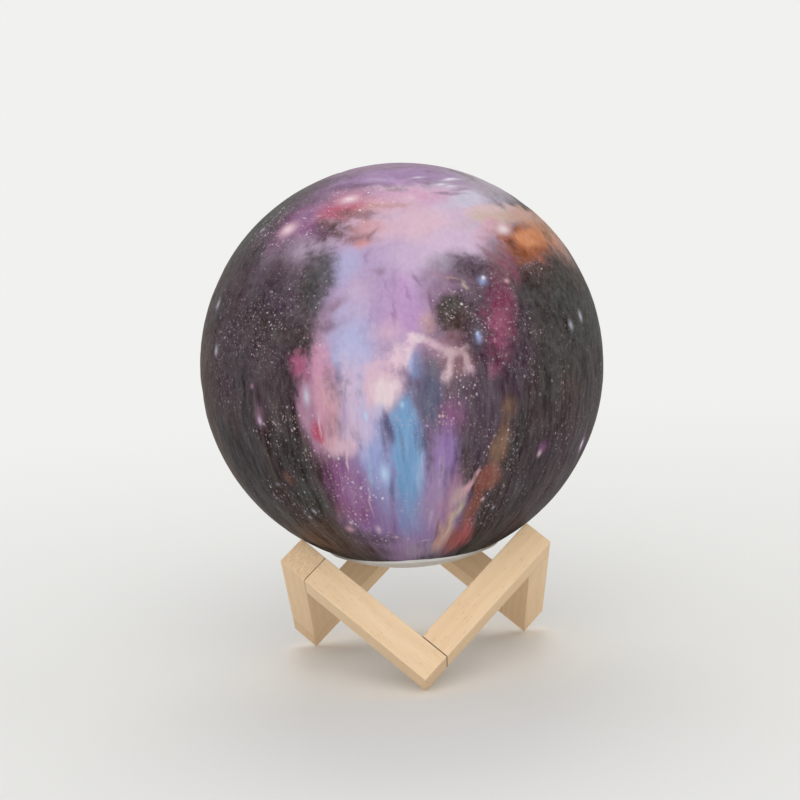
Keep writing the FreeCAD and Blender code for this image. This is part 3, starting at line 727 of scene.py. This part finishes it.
GLOWS = [
    (-22.6, 57.4, 11, 7.4, ROSE, 80, -18), (-21.6, 58.2, 7.4, 5.4, SHELL, 100, -18),
    (-46.2, 46.8, 7.6, 7.4, PINK, 75), (-46, 46.8, 6.2, 5.4, SHELL, 100),
    (-33.5, 51.5, 2.6, 1.4, BLUSH, 70), (42.8, 41.8, 7.4, 4.8, BLUSH, 80, -5),
    (42.8, 41.6, 6.2, 4.2, CREAM, 100, -5), (39.6, 44.6, 6, 1.2, PINK, 60, -14),
    (43.5, 65, 9, 2, WHITE, 75, -4), (31, 62.5, 6, 1.8, WHITE, 55),
    (36, 61, 5, 1.4, WHITE, 50), (21, 68, 5, 1.6, WHITE, 50),
    (-26.6, -0.5, 2.4, 6, FROST, 95), (-7.4, -22.5, 2.6, 7, ICE, 95),
    (-10.7, -6, 1.6, 3, ICE, 80), (-1.2, -3.6, 1.4, 2.2, ICE, 70),
    (-43, -6, 4, 8, DUSTY_ROSE, 45), (-43, -7.4, 2, 3, PALE_LILAC, 85),
    (-44.6, 2, 1.6, 1.8, DUSTY_ROSE, 80), (25.4, 26.8, 3.2, 3.2, PERIWINKLE, 85),
    (26, 27.6, 1.4, 1.4, WHITE, 90), (20.6, 12, 2.4, 3.8, PERIWINKLE, 90),
    (20.3, 13, 1.1, 1.6, ICE, 90), (33.6, 26.2, 2.2, 1.6, BLUSH, 90),
    (54, 11.4, 2.6, 3.4, FROST, 70), (61.2, 13, 2.6, 3.6, FROST, 80),
    (41.4, -20.4, 4.4, 4.4, MAGENTA, 65, 30), (40.4, -22, 1.7, 2.6, PALE_PINK, 95),
    (66, -24, 5, 6, ORCHID, 55), (66, -24, 2.4, 3.6, WHITE, 80),
    (-24.2, -42.5, 3, 3.6, BLUSH, 80), (-22.4, -39.5, 1.6, 1.6, SHELL, 70),
    (-13.2, -42.6, 1.7, 4.4, PALE_LILAC, 85), (-7.2, -46.6, 1.3, 1.6, PALE_LILAC, 80),
    (4, -49.5, 4, 0.9, PALE_LILAC, 60), (-69, 23, 3, 3.6, FROST, 75),
    (-63, 10.5, 2.2, 3.6, FROST, 75), (-65, 47, 3, 1.8, FROST, 65),
    (-34.6, -35, 1.6, 2, FROST, 50), (-38.2, -38, 1.2, 1.4, FROST, 70),
    (-44, -26.5, 1.6, 1.8, GREY_LILAC, 60), (28.4, -38.2, 1.3, 1.8, FROST, 60),
    (23, -34, 1.2, 1.8, SHELL, 70, 10), (120, 20, 3, 3.6, FROST, 80),
    (117, 17, 2, 2.6, FROST, 60), (104, -26, 4.4, 6, ORCHID, 70),
    (104, -27, 2, 3.6, WHITE, 80), (144, 49, 9, 5, BLUSH, 80, 10),
    (144, 49, 5.4, 3.4, SHELL, 100, 10), (172, 38, 3.4, 2.6, SHELL, 80),
    (-168, -14, 2.6, 7, ICE, 90), (-161, -33, 1.8, 4.4, ICE, 80),
    (178, -16, 1.8, 4, PALE_PINK, 80), (-152, 18, 3.4, 3.6, PERIWINKLE, 85),
    (-151.6, 18.6, 1.4, 1.6, WHITE, 90), (-140, 34, 3.6, 3, ICE, 80),
    (-112, 34, 5, 3.4, PINK, 70, -20), (-112, 34, 2.6, 1.8, WHITE, 90, -20),
    (-104, -8, 3.4, 4, DUSTY_ROSE, 80), (-118, -22, 1.8, 2.4, FROST, 70),
    (150, -20, 3, 3.6, SHELL, 80),
]

# %% The far side and the stars
FAR_HAZES = [
    (180, 12, 66, 52, NIGHT_PLUM, 80, 90, 12), (152, 32, 34, 22, DUSK, 80, 80, -30),
    (-166, -16, 26, 34, DUSK, 70, 80, -16), (122, -30, 24, 22, NIGHT_BROWN, 80, 80),
    (-120, 30, 30, 20, NIGHT_GREEN, 80, 80), (-112, -26, 22, 26, NIGHT_PLUM, 70, 90),
    (104, 8, 10, 30, NIGHT_GREEN, 70, 80),
]
FAR_CLOUDS = [
    (160, 36, 25, 14, MAUVE, 90, 50, -25), (170, 25, 20, 15, THISTLE, 85, 60, -30),
    (164, 33, 15, 8, PALE_LILAC, 75, 70, -30), (178, 19, 12, 9, ORCHID, 70, 80, -20),
    (152, 43, 12, 5, PINK, 70, 80, -20), (141, 47, 13, 7, ROSE, 85, 70, -20),
    (134, 42, 9, 5, CRIMSON, 70, 80, -20), (126, 38, 12, 7, RUST, 80, 60),
    (120, 41, 8, 4, ORANGE, 60, 80), (133, 33, 8, 3.4, BRICK, 70, 80, -10),
    (-175, 8, 12, 14, LILAC, 85, 60, -14), (-171, -6, 9, 20, PERIWINKLE, 75, 60, -6),
    (-178, -22, 8, 22, MAGENTA, 75, 70), (-166, -24, 5.4, 24, RIVER_BLUE, 80, 60, -2),
    (-158, -30, 6, 24, VIOLET, 80, 60), (177, -6, 5, 15, DUSTY_ROSE, 85, 60),
    (174, 3, 6, 8, BLUSH, 75, 80), (-171, 3, 4, 7, CREAM, 60, 80, 14),
    (-169, -14, 1.2, 9, NAVY, 60, 80), (-162, -34, 1.2, 9, NAVY, 50, 80),
    (-163, 22, 9, 9, NIGHT, 85, 70), (158, 14, 8, 10, NIGHT_GREEN, 80, 70),
    (149, 27, 7, 6, DARK_BROWN, 70, 80), (-176, 42, 11, 4, BROWN_MAUVE, 60, 80),
    (-150, 13, 9, 8, PLUM, 80, 80, -20), (-147, -3, 6, 13, CRIMSON, 65, 70),
    (-150, -26, 3.6, 13, OCHRE, 75, 70), (-146, -40, 4, 12, BRICK, 75, 70, 4),
    (-108, 34, 15, 8, PLUM, 70, 80, 20), (-114, 30, 8, 4.4, DUSTY_ROSE, 60, 80, 20),
    (-98, -24, 8, 22, MAGENTA, 40, 80), (-110, -34, 7, 18, CRIMSON, 50, 70),
    (-122, -30, 5, 20, SLATE, 60, 80), (104, -24, 8, 22, PLUM, 70, 70),
    (97, -14, 4, 16, DUSK_VIOLET, 60, 80), (113, -34, 5, 18, SLATE, 70, 70),
    (103, 5, 12, 7, DUSK, 70, 80, -20),
]
STAR_FIELDS = [
    (0, 0, 200, 90, 20, 100), (-42, 54, 26, 14, 100, 30, -25), (-34, 50, 12, 9, 100, 30, -25),
    (-24, 48, 11, 7, 90, 60), (-64, 56, 18, 14, 80, 70), (-36, 20, 17, 18, 85, 70),
    (-56, 14, 18, 26, 45, 80), (-35, -14, 13, 13, 100, 60), (-40, -32, 16, 14, 60, 80),
    (-18, -30, 11, 17, 100, 60), (-16, -45, 11, 9, 80, 70), (15, 18, 9, 11, 100, 50),
    (27, 16, 10, 16, 90, 60), (22, 32, 9, 7, 70, 70), (14, -4, 14, 14, 100, 60),
    (20, -17, 10, 13, 90, 60), (28, -19, 7, 11, 100, 60), (37.5, 7, 4.5, 15, 100, 60),
    (28, -36, 13, 15, 60, 80), (0, -11, 6, 8, 70, 70), (-4, -36, 10, 14, 50, 80),
    (46, 29, 12, 4, 80, 70), (56, -10, 30, 36, 25, 90), (180, 0, 80, 60, 40, 90),
    (142, 42, 22, 12, 90, 60, -25), (158, 16, 12, 13, 100, 60), (-158, 16, 14, 14, 100, 60),
    (-150, -22, 12, 22, 80, 70), (176, -26, 12, 16, 80, 70), (-108, 32, 18, 12, 90, 70, 20),
    (104, -18, 13, 20, 80, 70),
]
WHOLE_PLAN = (HAZES, HEART, LEFT_CREST, RUST_CLOUD, STREAM, LEFT_BANK, RIGHT_BANK, THREADS, GLOWS,
              FAR_HAZES, FAR_CLOUDS, STAR_FIELDS)
print("dabs:", sum(map(len, WHOLE_PLAN)))

# %% [markdown]
# ## Painting the ball
#
# The dabs are laid one over the other in the order of the plan. Noise tears big dabs and bends
# threads most, and glows stay round. Thin ridges of noise run through the clouds like the fibres
# of a real one, and fine grey noise varies the brightness: partly uneven ink, partly painted
# shading of the relief's small lumps. Four layers of stars go on last. Their own plan of dabs
# says where they crowd.
#
# The surface is satin plastic: quite rough, with a grain too fine to model, so that is bump.
# The inside and the cut edge of the opening are bare white plastic.

# %% Lay a dab or a glow
DAB_SPREAD = 1.2
PERCENT = 100
NOISE_MIDDLE = (0.5, 0.5, 0.5)


def oval(lon, lat, wide, tall, lean=0):
    """Sockets that bring an oval on the ball to a round spot of radius one at zero."""
    turn = (Matrix.Rotation(math.radians(lon), 3, "Z")
            @ Matrix.Rotation(math.radians(-lat), 3, "X")
            @ Matrix.Rotation(math.radians(lean), 3, "Y"))
    wide, tall = math.radians(wide), math.radians(tall)
    return {"Middle": turn @ Vector((0, -1, 0)), "Turn": turn.to_euler(),
            "Reach": (wide, max(wide, tall), tall)}


def dab(tree, below, surface, torn, plan):
    """Lays one dab of the plan over the colours below it."""
    lon, lat, wide, tall, paint, cover, softness, *lean = plan
    place = oval(lon, lat, wide * DAB_SPREAD, tall * DAB_SPREAD, *lean)
    return use_group(tree, cloud_dab, {"Below": below, "Paint": paint, "Surface": surface,
                                       "Torn": torn, "Softness": softness / PERCENT,
                                       "Cover": cover / PERCENT, **place})["Color"]


def glow(tree, below, surface, plan):
    """Lays one round glow of the plan over the colours below it."""
    lon, lat, wide, tall, paint, cover, *lean = plan
    return use_group(tree, round_glow, {"Below": below, "Paint": paint, "Surface": surface,
                                        "Cover": cover / PERCENT,
                                        **oval(lon, lat, wide, tall, *lean)})["Color"]


def bent(tree, place, drawn, amount, scale):
    """Bends places by cloudy noise, which makes straight edges wavy."""
    push = vector_calc(tree, "SUBTRACT", noise(tree, drawn, scale, 4.0, 0.5, "Color"),
                       NOISE_MIDDLE)
    scaled = put(tree, "VectorMath", {0: push, "Scale": amount}, operation="SCALE").outputs[0]
    return put(tree, "Mapping", {"Vector": place, "Location": scaled}).outputs[0]


print("a dab in the middle of the front:", oval(0, 0, 10, 10))

# %% Ground, fibres and stars
FIBRE_SQUEEZE = (1.0, 1.0, 0.6)
# Scale and strength of each grey noise, which is partly uneven ink and partly painted shading of
# the relief's small lumps.
INK_AND_RELIEF_SHADE = ((11.0, 0.055), (46.0, 0.075))
STAR_DRAWN = 0.35
# Scale of the cells, a star's size, how many cells have one, its brightness and its paint.
STAR_LAYERS = (
    (80.0, 0.58, 0.85, 0.75, SPECKLE),
    (54.0, 0.48, 0.70, 1.00, PALE_PINK),
    (36.0, 0.32, 0.60, 1.00, WHITE),
    (18.0, 0.19, 0.45, 1.00, WHITE),
)


def night_ground(tree, place, drawn):
    """The dark ground of the print: black that drifts to brown and green."""
    patchy = ramp(tree, noise(tree, drawn, 2.2, 4.0), 0.38, 0.62)
    colour = layer(tree, patchy, NIGHT, NIGHT_BROWN)
    greenish = ramp(tree, noise(tree, place, 1.7, 3.0), 0.50, 0.66, 0.0, 0.7)
    return layer(tree, greenish, colour, NIGHT_GREEN)


def ridges(tree, place, scale, detail, roughness, **more):
    """Noise that rises to thin sharp ridges."""
    return put(tree, "TexNoise", {"Vector": place, "Scale": scale, "Detail": detail,
                                  "Roughness": roughness, **more},
               noise_type="RIDGED_MULTIFRACTAL", normalize=True).outputs["Fac"]


def fibres_over(tree, colour, drawn):
    """Fine veins in the clouds: lighter and darker ridges, and uneven ink with painted relief
    shading.
    """
    light = ridges(tree, drawn, 5.0, 7.0, 0.62, Lacunarity=2.2)
    colour = layer(tree, ramp(tree, light, 0.45, 0.85, 0.0, 0.40), colour, PALE_LILAC, "OVERLAY")
    upright = vector_calc(tree, "MULTIPLY", drawn, FIBRE_SQUEEZE)
    dark = ridges(tree, upright, 9.0, 6.0, 0.55)
    colour = layer(tree, ramp(tree, dark, 0.62, 0.95, 0.0, 0.35), colour, MAUVE)
    # Grey noise drawn upright: partly uneven ink, partly painted shading of the relief's small
    # lumps.
    for scale, amount in INK_AND_RELIEF_SHADE:
        colour = layer(tree, amount, colour, noise(tree, upright, scale, 4.0, 0.65),
                       "LINEAR_LIGHT")
    return colour


def stars_over(tree, colour, place, drawn, surface, torn):
    """Three sizes of stars and a fine pale speckle, thick where the plan says so."""
    crowd = BLACK
    for field in STAR_FIELDS:
        crowd = dab(tree, crowd, surface, torn, (*field[:4], WHITE, *field[4:]))
    clumps = ramp(tree, noise(tree, place, 5.0, 4.0), 0.38, 0.6, 0.25, 1.0)
    uneven = calc(tree, "MULTIPLY", crowd, clumps)
    half_drawn = put(tree, "Mix", {0: STAR_DRAWN, 4: place, 5: drawn},
                     data_type="VECTOR").outputs[1]
    half_drawn = bent(tree, half_drawn, place, 0.010, 70.0)
    for scale, size, share, light, paint in STAR_LAYERS:
        mask = use_group(tree, stars, {"Vector": half_drawn, "Scale": scale, "Size": size,
                                       "Share": share})["Mask"]
        amount = calc(tree, "MULTIPLY", calc(tree, "MULTIPLY", mask, uneven), light)
        colour = layer(tree, amount, colour, paint)
    return colour


print("star layers:", len(STAR_LAYERS))

# %% Put the print together
# Amount and scale of each bend.
CLOUD_BENDS = ((0.12, 3.0), (0.05, 11.0))
CALM_BEND = (0.020, 9.0)
WISPY_BEND = (0.050, 24.0)
PRINT_GRAIN = 130.0
PRINT_GRAIN_DEPTH = 0.15 * MM


def printed_sky():
    """The printed plastic of the ball's outside."""
    material, tree, sockets = new_material("printed_sky")
    place = ball_place(tree)
    drawn = use_group(tree, drawn_out, {"Vector": place})["Vector"]
    warped = place
    for amount, scale in CLOUD_BENDS:
        warped = bent(tree, warped, drawn, amount, scale)
    calm = bent(tree, place, drawn, *CALM_BEND)
    wispy = bent(tree, calm, drawn, *WISPY_BEND)
    wide_tear = ramp(tree, noise(tree, drawn, 6.0, 8.0, 0.60), 0.25, 0.75, 0.60, 1.40)
    fine_tear = ramp(tree, noise(tree, drawn, 24.0, 6.0, 0.65), 0.25, 0.75, 0.80, 1.20)
    both_tears = calc(tree, "MULTIPLY", wide_tear, fine_tear)

    colour = night_ground(tree, place, drawn)
    for plan in HAZES + FAR_HAZES + HEART:
        colour = dab(tree, colour, warped, wide_tear, plan)
    for plan in LEFT_CREST + RUST_CLOUD + STREAM + LEFT_BANK + RIGHT_BANK + FAR_CLOUDS:
        colour = dab(tree, colour, warped, both_tears, plan)
    colour = fibres_over(tree, colour, drawn)
    for plan in THREADS:
        colour = dab(tree, colour, wispy, both_tears, plan)
    for plan in GLOWS:
        colour = glow(tree, colour, calm, plan)
    colour = stars_over(tree, colour, place, drawn, warped, wide_tear)

    grain = noise(tree, place, PRINT_GRAIN, 3.0)
    fill(tree, sockets, {"Base Color": colour, "Specular IOR Level": 0.22,
                         "Roughness": ramp(tree, grain, 0.3, 0.7, 0.58, 0.70),
                         "Normal": bump(tree, grain, 0.35, PRINT_GRAIN_DEPTH)})
    return material


sky_print = printed_sky()
print("nodes in the print:", len(sky_print.node_tree.nodes))

# %% Make the bare plastic
WHITE_TINT, WHITE_SHADE = srgb(232, 231, 228), srgb(226, 225, 221)
GLOSS_MOTTLE, TINT_MOTTLE = 120.0, 260.0
MOULDED_DEPTH = 0.05 * MM
BARE_SHARE = 0.75


def moulded_group():
    """The fine spark-worn texture of a moulded face, with a slight mottle of gloss."""
    group, given, result = new_group("moulded_face", [("Size", "Float", 1500.0)],
                                     [("Height", "Float"), ("Roughness", "Float")])
    place = own_place(group)
    fine = noise(group, place, given["Size"], 2.0)
    gloss = noise(group, place, GLOSS_MOTTLE, 3.0)
    fill(group, result, {"Height": fine, "Roughness": ramp(group, gloss, 0.3, 0.7, 0.38, 0.52)})
    return group


moulded = moulded_group()


def moulded_plastic(name, tint, shade, bump_strength=0.2):
    """Opaque moulded plastic with a faint mottle between two close tints."""
    material, tree, sockets = new_material(name)
    face = use_group(tree, moulded, {})
    mottle = ramp(tree, noise(tree, own_place(tree), TINT_MOTTLE, 4.0), 0.35, 0.65)
    fill(tree, sockets, {"Base Color": layer(tree, mottle, tint, shade),
                         "Roughness": face["Roughness"],
                         "Normal": bump(tree, face["Height"], bump_strength, MOULDED_DEPTH)})
    return material


white_plastic = moulded_plastic("white_plastic", WHITE_TINT, WHITE_SHADE)
ball.data.materials.clear()
ball.data.materials.append(sky_print)
ball.data.materials.append(white_plastic)
bare_radius = globe_radius - GLOBE_WALL * BARE_SHARE
for face in ball.data.polygons:
    face.material_index = int((face.center - globe_centre).length < bare_radius)
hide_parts("globe_shell")
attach(ball, "lamp")
print("bare faces:", sum(face.material_index for face in ball.data.polygons))

# %% [markdown]
# ## Wood
#
# The sticks are bare, fine-sanded beech: pale and straight-grained, with faint growth rings and
# a few small flecks along the grain. A picture of wood would need its file and show where it
# repeats, so rings, fibres and flecks are nodes. The grain runs along each stick, so each needs
# its pattern turned its own way. The sticks lie along three directions of a cube that stands on
# a corner. The longest of the three extents says which one is a stick's own, and a Mapping node
# turns the pattern to it. One group holds the grain, and each stick places it at another spot in
# the log.
#
# Each stick has one free end, which is sawn and a little rough, and one that is glued against
# the next stick's side. Two of the glued joints show a thin dark line.

# %% Turn a pattern to each stick
CUBE_AXES = [Vector((math.sqrt(1 / 2), math.sqrt(1 / 6), math.sqrt(1 / 3))),
             Vector((-math.sqrt(1 / 2), math.sqrt(1 / 6), math.sqrt(1 / 3))),
             Vector((0, -math.sqrt(2 / 3), math.sqrt(1 / 3)))]


def stick_frame(node):
    """A stick's middle, the turn that brings Z to its length, its half length and half side."""
    places = [vertex.co for vertex in nodes[node].data.vertices]
    spans = []
    middle = Vector((0, 0, 0))
    for axis in CUBE_AXES:
        along = [place.dot(axis) for place in places]
        spans.append(max(along) - min(along))
        middle += axis * (max(along) + min(along)) / 2
    longest = spans.index(max(spans))
    long_axis = CUBE_AXES[longest]
    side_axis = CUBE_AXES[(longest + 1) % 3]
    third_axis = long_axis.cross(side_axis)
    turn = Matrix((side_axis, third_axis, long_axis)).transposed().to_euler()
    return middle, turn, max(spans) / 2, min(spans) / 2


_, _, half_length, half_side = stick_frame("stick_left")
print("half a stick's length and side (mm):", round(half_length / MM, 2), round(half_side / MM, 2))

# %% Grain of beech
PALE_BEECH, BEECH_SHADE = srgb(244, 215, 178), srgb(240, 209, 170)
RING_BROWN, FIBRE_BROWN, FLECK_BROWN = srgb(224, 187, 144), srgb(222, 184, 140), srgb(184, 138, 96)
WAVE_STRETCH = (40, 40, 9)
FIBRE_STRETCH = (3200, 3200, 110)
FLECK_STRETCH = (1500, 1500, 330)


def stretched_noise(tree, place, stretch, detail, roughness=0.55):
    """Noise with its own scale along each axis."""
    return noise(tree, vector_calc(tree, "MULTIPLY", place, stretch), 1.0, detail, roughness)


def beech_group():
    """Beech grain along Z: faint rings, fine fibres and short dark flecks."""
    group, given, result = new_group("beech_grain", [("Vector", "Vector", None)],
                                     [("Color", "Color"), ("Height", "Float")])
    place = given["Vector"]
    waves = stretched_noise(group, place, WAVE_STRETCH, 3.0)
    rings = put(group, "TexWave", {"Vector": place, "Scale": 105.0, "Distortion": 3.2,
                                   "Detail": 2.0, "Detail Scale": 0.6},
                wave_type="RINGS", rings_direction="Z").outputs["Fac"]
    fibres = stretched_noise(group, place, FIBRE_STRETCH, 3.0)
    fleck_place = vector_calc(group, "MULTIPLY", place, FLECK_STRETCH)
    flecks = put(group, "TexVoronoi", {"Vector": fleck_place, "Scale": 1.0}).outputs
    chance = put(group, "SeparateColor", {0: flecks["Color"]}).outputs["Red"]
    dash = calc(group, "MULTIPLY", ramp(group, flecks["Distance"], 0.42, 0.15),
                ramp(group, chance, 0.76, 0.84))
    pale = layer(group, ramp(group, waves, 0.35, 0.65), PALE_BEECH, BEECH_SHADE)
    ringed = layer(group, calc(group, "MULTIPLY", rings, 0.22), pale, RING_BROWN)
    fine = layer(group, ramp(group, fibres, 0.40, 0.72, 0.0, 0.25), ringed, FIBRE_BROWN)
    flecked = layer(group, calc(group, "MULTIPLY", dash, 0.30), fine, FLECK_BROWN)
    height = calc(group, "SUBTRACT", fibres, calc(group, "MULTIPLY", dash, 0.8))
    fill(group, result, {"Color": flecked, "Height": height})
    return group


beech = beech_group()
print("nodes in the grain:", len(beech.nodes))

# %% Dress the sticks
# The last tint here is a painted highlight along the sticks' long edges.
SAWN_TINT, GLUE_LINE, EDGE_HIGHLIGHT = srgb(206, 168, 128), srgb(70, 44, 28), srgb(240, 214, 180)
SAW_MARKS = (700, 2400, 700)
SAWN_FROM, SAWN_TO = 0.4 * MM, 0.05 * MM
SEAM_WIDTH = 0.45 * MM
# How far in from each long edge the painted highlight reaches.
EDGE_HIGHLIGHT_WIDTH = 0.5 * MM
WOOD_BUMP = 0.06 * MM
UPPER, LOWER = 1, -1
# Each stick's spot in the log, which end is glued, and how dark the line at that joint is.
STICKS = {
    "stick_front_left": ((0.034, 0.021, 0.10), UPPER, 0.9),
    "stick_left": ((-0.028, 0.040, 0.31), LOWER, 0.3),
    "stick_back_left": ((0.050, -0.016, 0.52), UPPER, 0.3),
    "stick_back_right": ((-0.041, -0.025, 0.73), LOWER, 0.3),
    "stick_right": ((0.022, 0.046, 0.94), UPPER, 0.2),
    "stick_front_right": ((-0.036, 0.030, 1.15), LOWER, 0.9),
}


def stick_wood(node, spot, glued_end, seam):
    """Beech for one stick: its free end is sawn, its glued end may show a dark line."""
    middle, turn, half_length, half_side = stick_frame(node)
    material, tree, sockets = new_material("beech_" + node)
    local = put(tree, "Mapping", {"Vector": own_place(tree), "Location": middle,
                                  "Rotation": turn}, vector_type="TEXTURE").outputs[0]
    grain = use_group(tree, beech, {"Vector": vector_calc(tree, "ADD", local, spot)})
    along = put(tree, "SeparateXYZ", {0: local}).outputs["Z"]
    from_glue = calc(tree, "SUBTRACT", half_length, calc(tree, "MULTIPLY", along, glued_end))
    line = calc(tree, "MULTIPLY", ramp(tree, from_glue, SEAM_WIDTH, SEAM_WIDTH / 3), seam)
    sawn = ramp(tree, from_glue, 2 * half_length - SAWN_FROM, 2 * half_length - SAWN_TO)
    marks = stretched_noise(tree, local, SAW_MARKS, 5.0, 0.7)
    rough_end = calc(tree, "MULTIPLY", sawn, ramp(tree, marks, 0.42, 0.62))
    colour = layer(tree, calc(tree, "MULTIPLY", rough_end, 0.40), grain["Color"], SAWN_TINT)
    colour = layer(tree, line, colour, GLUE_LINE)
    # Painted highlight: a band along each long edge is laid lighter, where the rounded edges catch
    # the light.
    parts = put(tree, "SeparateXYZ", {0: vector_calc(tree, "ABSOLUTE", local)}).outputs
    near_edge = calc(tree, "MINIMUM", parts["X"], parts["Y"])
    edge = ramp(tree, near_edge, half_side - EDGE_HIGHLIGHT_WIDTH, half_side)
    colour = layer(tree, calc(tree, "MULTIPLY", edge, 0.30), colour, EDGE_HIGHLIGHT)
    height = calc(tree, "ADD", grain["Height"], calc(tree, "MULTIPLY", rough_end, -3.0))
    fill(tree, sockets, {"Base Color": colour, "Specular IOR Level": 0.3,
                         "Roughness": ramp(tree, grain["Height"], 0.2, 0.8, 0.70, 0.60),
                         "Normal": bump(tree, height, 0.30, WOOD_BUMP)})
    return material


def dress(node, material):
    """Gives a construction piece this finish."""
    slots = nodes[node].material_slots
    for slot in slots:
        slot.material = material
    if not slots:
        nodes[node].data.materials.append(material)


for node, (spot, glued_end, seam) in STICKS.items():
    dress(node, stick_wood(node, spot, glued_end, seam))
print("sticks dressed:", len(STICKS))

# %% [markdown]
# ## The other finishes
#
# Most of what is left is hidden in the ball, but it is seen when the lamp is taken apart. One
# grey for all of it would be quicker and would say nothing, so each piece gets its own finish:
# moulded plastics, foil, foam, boards, plated metal and wire. They are a few kinds of surface
# with other tints, so each kind is a function.

# %% Metal and boards
DRAWING_LINES = (900, 900, 9000)
BOARD_WEAVE = (2600, 2600, 1)
BOARD_BLOTCH = 400.0
FINE_BUMP = 0.02 * MM


def plated_metal(name, tint, shade, roughness):
    """Plated metal with faint drawing lines."""
    material, tree, sockets = new_material(name)
    lines = stretched_noise(tree, own_place(tree), DRAWING_LINES, 3.0)
    fill(tree, sockets, {"Base Color": layer(tree, ramp(tree, lines, 0.3, 0.7), tint, shade),
                         "Roughness": ramp(tree, lines, 0.3, 0.7, roughness, roughness + 0.12),
                         "Metallic": 1.0, "Normal": bump(tree, lines, 0.15, FINE_BUMP)})
    return material


def circuit_resist(name, tint, shade):
    """Solder resist over a woven board, with the weave just showing."""
    material, tree, sockets = new_material(name)
    place = vector_calc(tree, "MULTIPLY", own_place(tree), BOARD_WEAVE)
    weave = put(tree, "TexChecker", {"Vector": place, "Scale": 1.0}).outputs["Fac"]
    blotch = ramp(tree, noise(tree, own_place(tree), BOARD_BLOTCH, 3.0), 0.35, 0.65)
    colour = layer(tree, calc(tree, "MULTIPLY", weave, 0.25), layer(tree, blotch, tint, shade),
                   shade)
    fill(tree, sockets, {"Base Color": colour, "Normal": bump(tree, weave, 0.15, FINE_BUMP),
                         "Roughness": ramp(tree, blotch, 0.0, 1.0, 0.25, 0.38)})
    return material


nickel = plated_metal("nickel_plate", srgb(206, 204, 198), srgb(190, 188, 182), 0.24)
zinc = plated_metal("zinc_plate", srgb(198, 200, 204), srgb(182, 185, 190), 0.30)
green_board = circuit_resist("green_board", srgb(24, 92, 58), srgb(18, 78, 48))
white_board = circuit_resist("white_board", srgb(236, 236, 232), srgb(226, 226, 222))
print("metals and boards:", nickel.name, zinc.name, green_board.name, white_board.name)

# %% Foil, foam, clear plastic and plain wood
FOAM_CELLS = 1800.0
CREASE_DEPTH, FOAM_DEPTH = 0.25 * MM, 0.3 * MM


def clouded(name, cloud, tint, shade, roughness, unevenness, extras):
    """A finish whose tint, roughness and bump all follow one cloudy noise."""
    material, tree, sockets = new_material(name)
    level = noise(tree, own_place(tree), *cloud)
    fill(tree, sockets, {"Base Color": layer(tree, level, tint, shade),
                         "Roughness": ramp(tree, level, 0.3, 0.7, *roughness),
                         "Normal": bump(tree, level, *unevenness), **extras})
    return material


def open_foam():
    """Black adhesive foam with open cells."""
    material, tree, sockets = new_material("foam")
    cells = put(tree, "TexVoronoi", {"Vector": own_place(tree), "Scale": FOAM_CELLS})
    depth = cells.outputs["Distance"]
    fill(tree, sockets, {"Base Color": layer(tree, depth, srgb(28, 28, 29), srgb(62, 62, 64)),
                         "Roughness": 0.95, "Normal": bump(tree, depth, 0.8, FOAM_DEPTH)})
    return material


cell_foil = clouded("cell_foil", (190.0, 6.0, 0.7), srgb(208, 209, 211), srgb(176, 178, 182),
                    (0.28, 0.45), (0.4, CREASE_DEPTH), {"Metallic": 0.85})
clear_pipe = clouded("clear_pipe", (700.0, 3.0), srgb(238, 242, 244), srgb(228, 234, 238),
                     (0.12, 0.22), (0.1, FINE_BUMP), {"Transmission Weight": 0.9, "IOR": 1.49})
foam = open_foam()
plain_wood, wood_tree, wood_sockets = new_material("turned_wood")
turned = use_group(wood_tree, beech, {"Vector": own_place(wood_tree)})
fill(wood_tree, wood_sockets, {"Base Color": turned["Color"], "Roughness": 0.6,
                               "Normal": bump(wood_tree, turned["Height"], 0.3, WOOD_BUMP)})
print("soft and clear finishes:", cell_foil.name, foam.name, clear_pipe.name, plain_wood.name)

# %% Dress the rest
grey_plastic = moulded_plastic("grey_plastic", srgb(196, 198, 200), srgb(188, 190, 193))
ivory_plastic = moulded_plastic("ivory_plastic", srgb(232, 226, 206), srgb(224, 217, 194))
black_resin = moulded_plastic("black_resin", srgb(38, 38, 40), srgb(46, 46, 48), 0.35)
red_wire = moulded_plastic("red_wire", srgb(178, 30, 28), srgb(164, 26, 26), 0.1)
black_wire = moulded_plastic("black_wire", srgb(30, 30, 31), srgb(38, 38, 39), 0.1)
phosphor = moulded_plastic("phosphor", srgb(236, 220, 150), srgb(228, 210, 134), 0.1)
FINISHES = {
    white_plastic: ["base_cap", "neck_ring", "housing_lid"],
    grey_plastic: ["button_cap"],
    ivory_plastic: ["battery_connector", "switch_plunger"],
    black_resin: ["board_chips", "socket_tongue", "tact_switch"],
    red_wire: ["battery_lead_red", "led_lead_red"],
    black_wire: ["battery_lead_black", "led_lead_black"],
    phosphor: ["status_led", "led_chips"],
    nickel: ["socket_shell"],
    zinc: ["lid_screws", "board_screws", "led_board_screws"],
    green_board: ["control_board"],
    white_board: ["led_board"],
    cell_foil: ["battery_cell"],
    foam: ["battery_pad"],
    clear_pipe: ["light_pipe"],
    plain_wood: ["dowel_pins"],
}
for material, members in FINISHES.items():
    for node in members:
        dress(node, material)
print("finishes:", len(FINISHES))
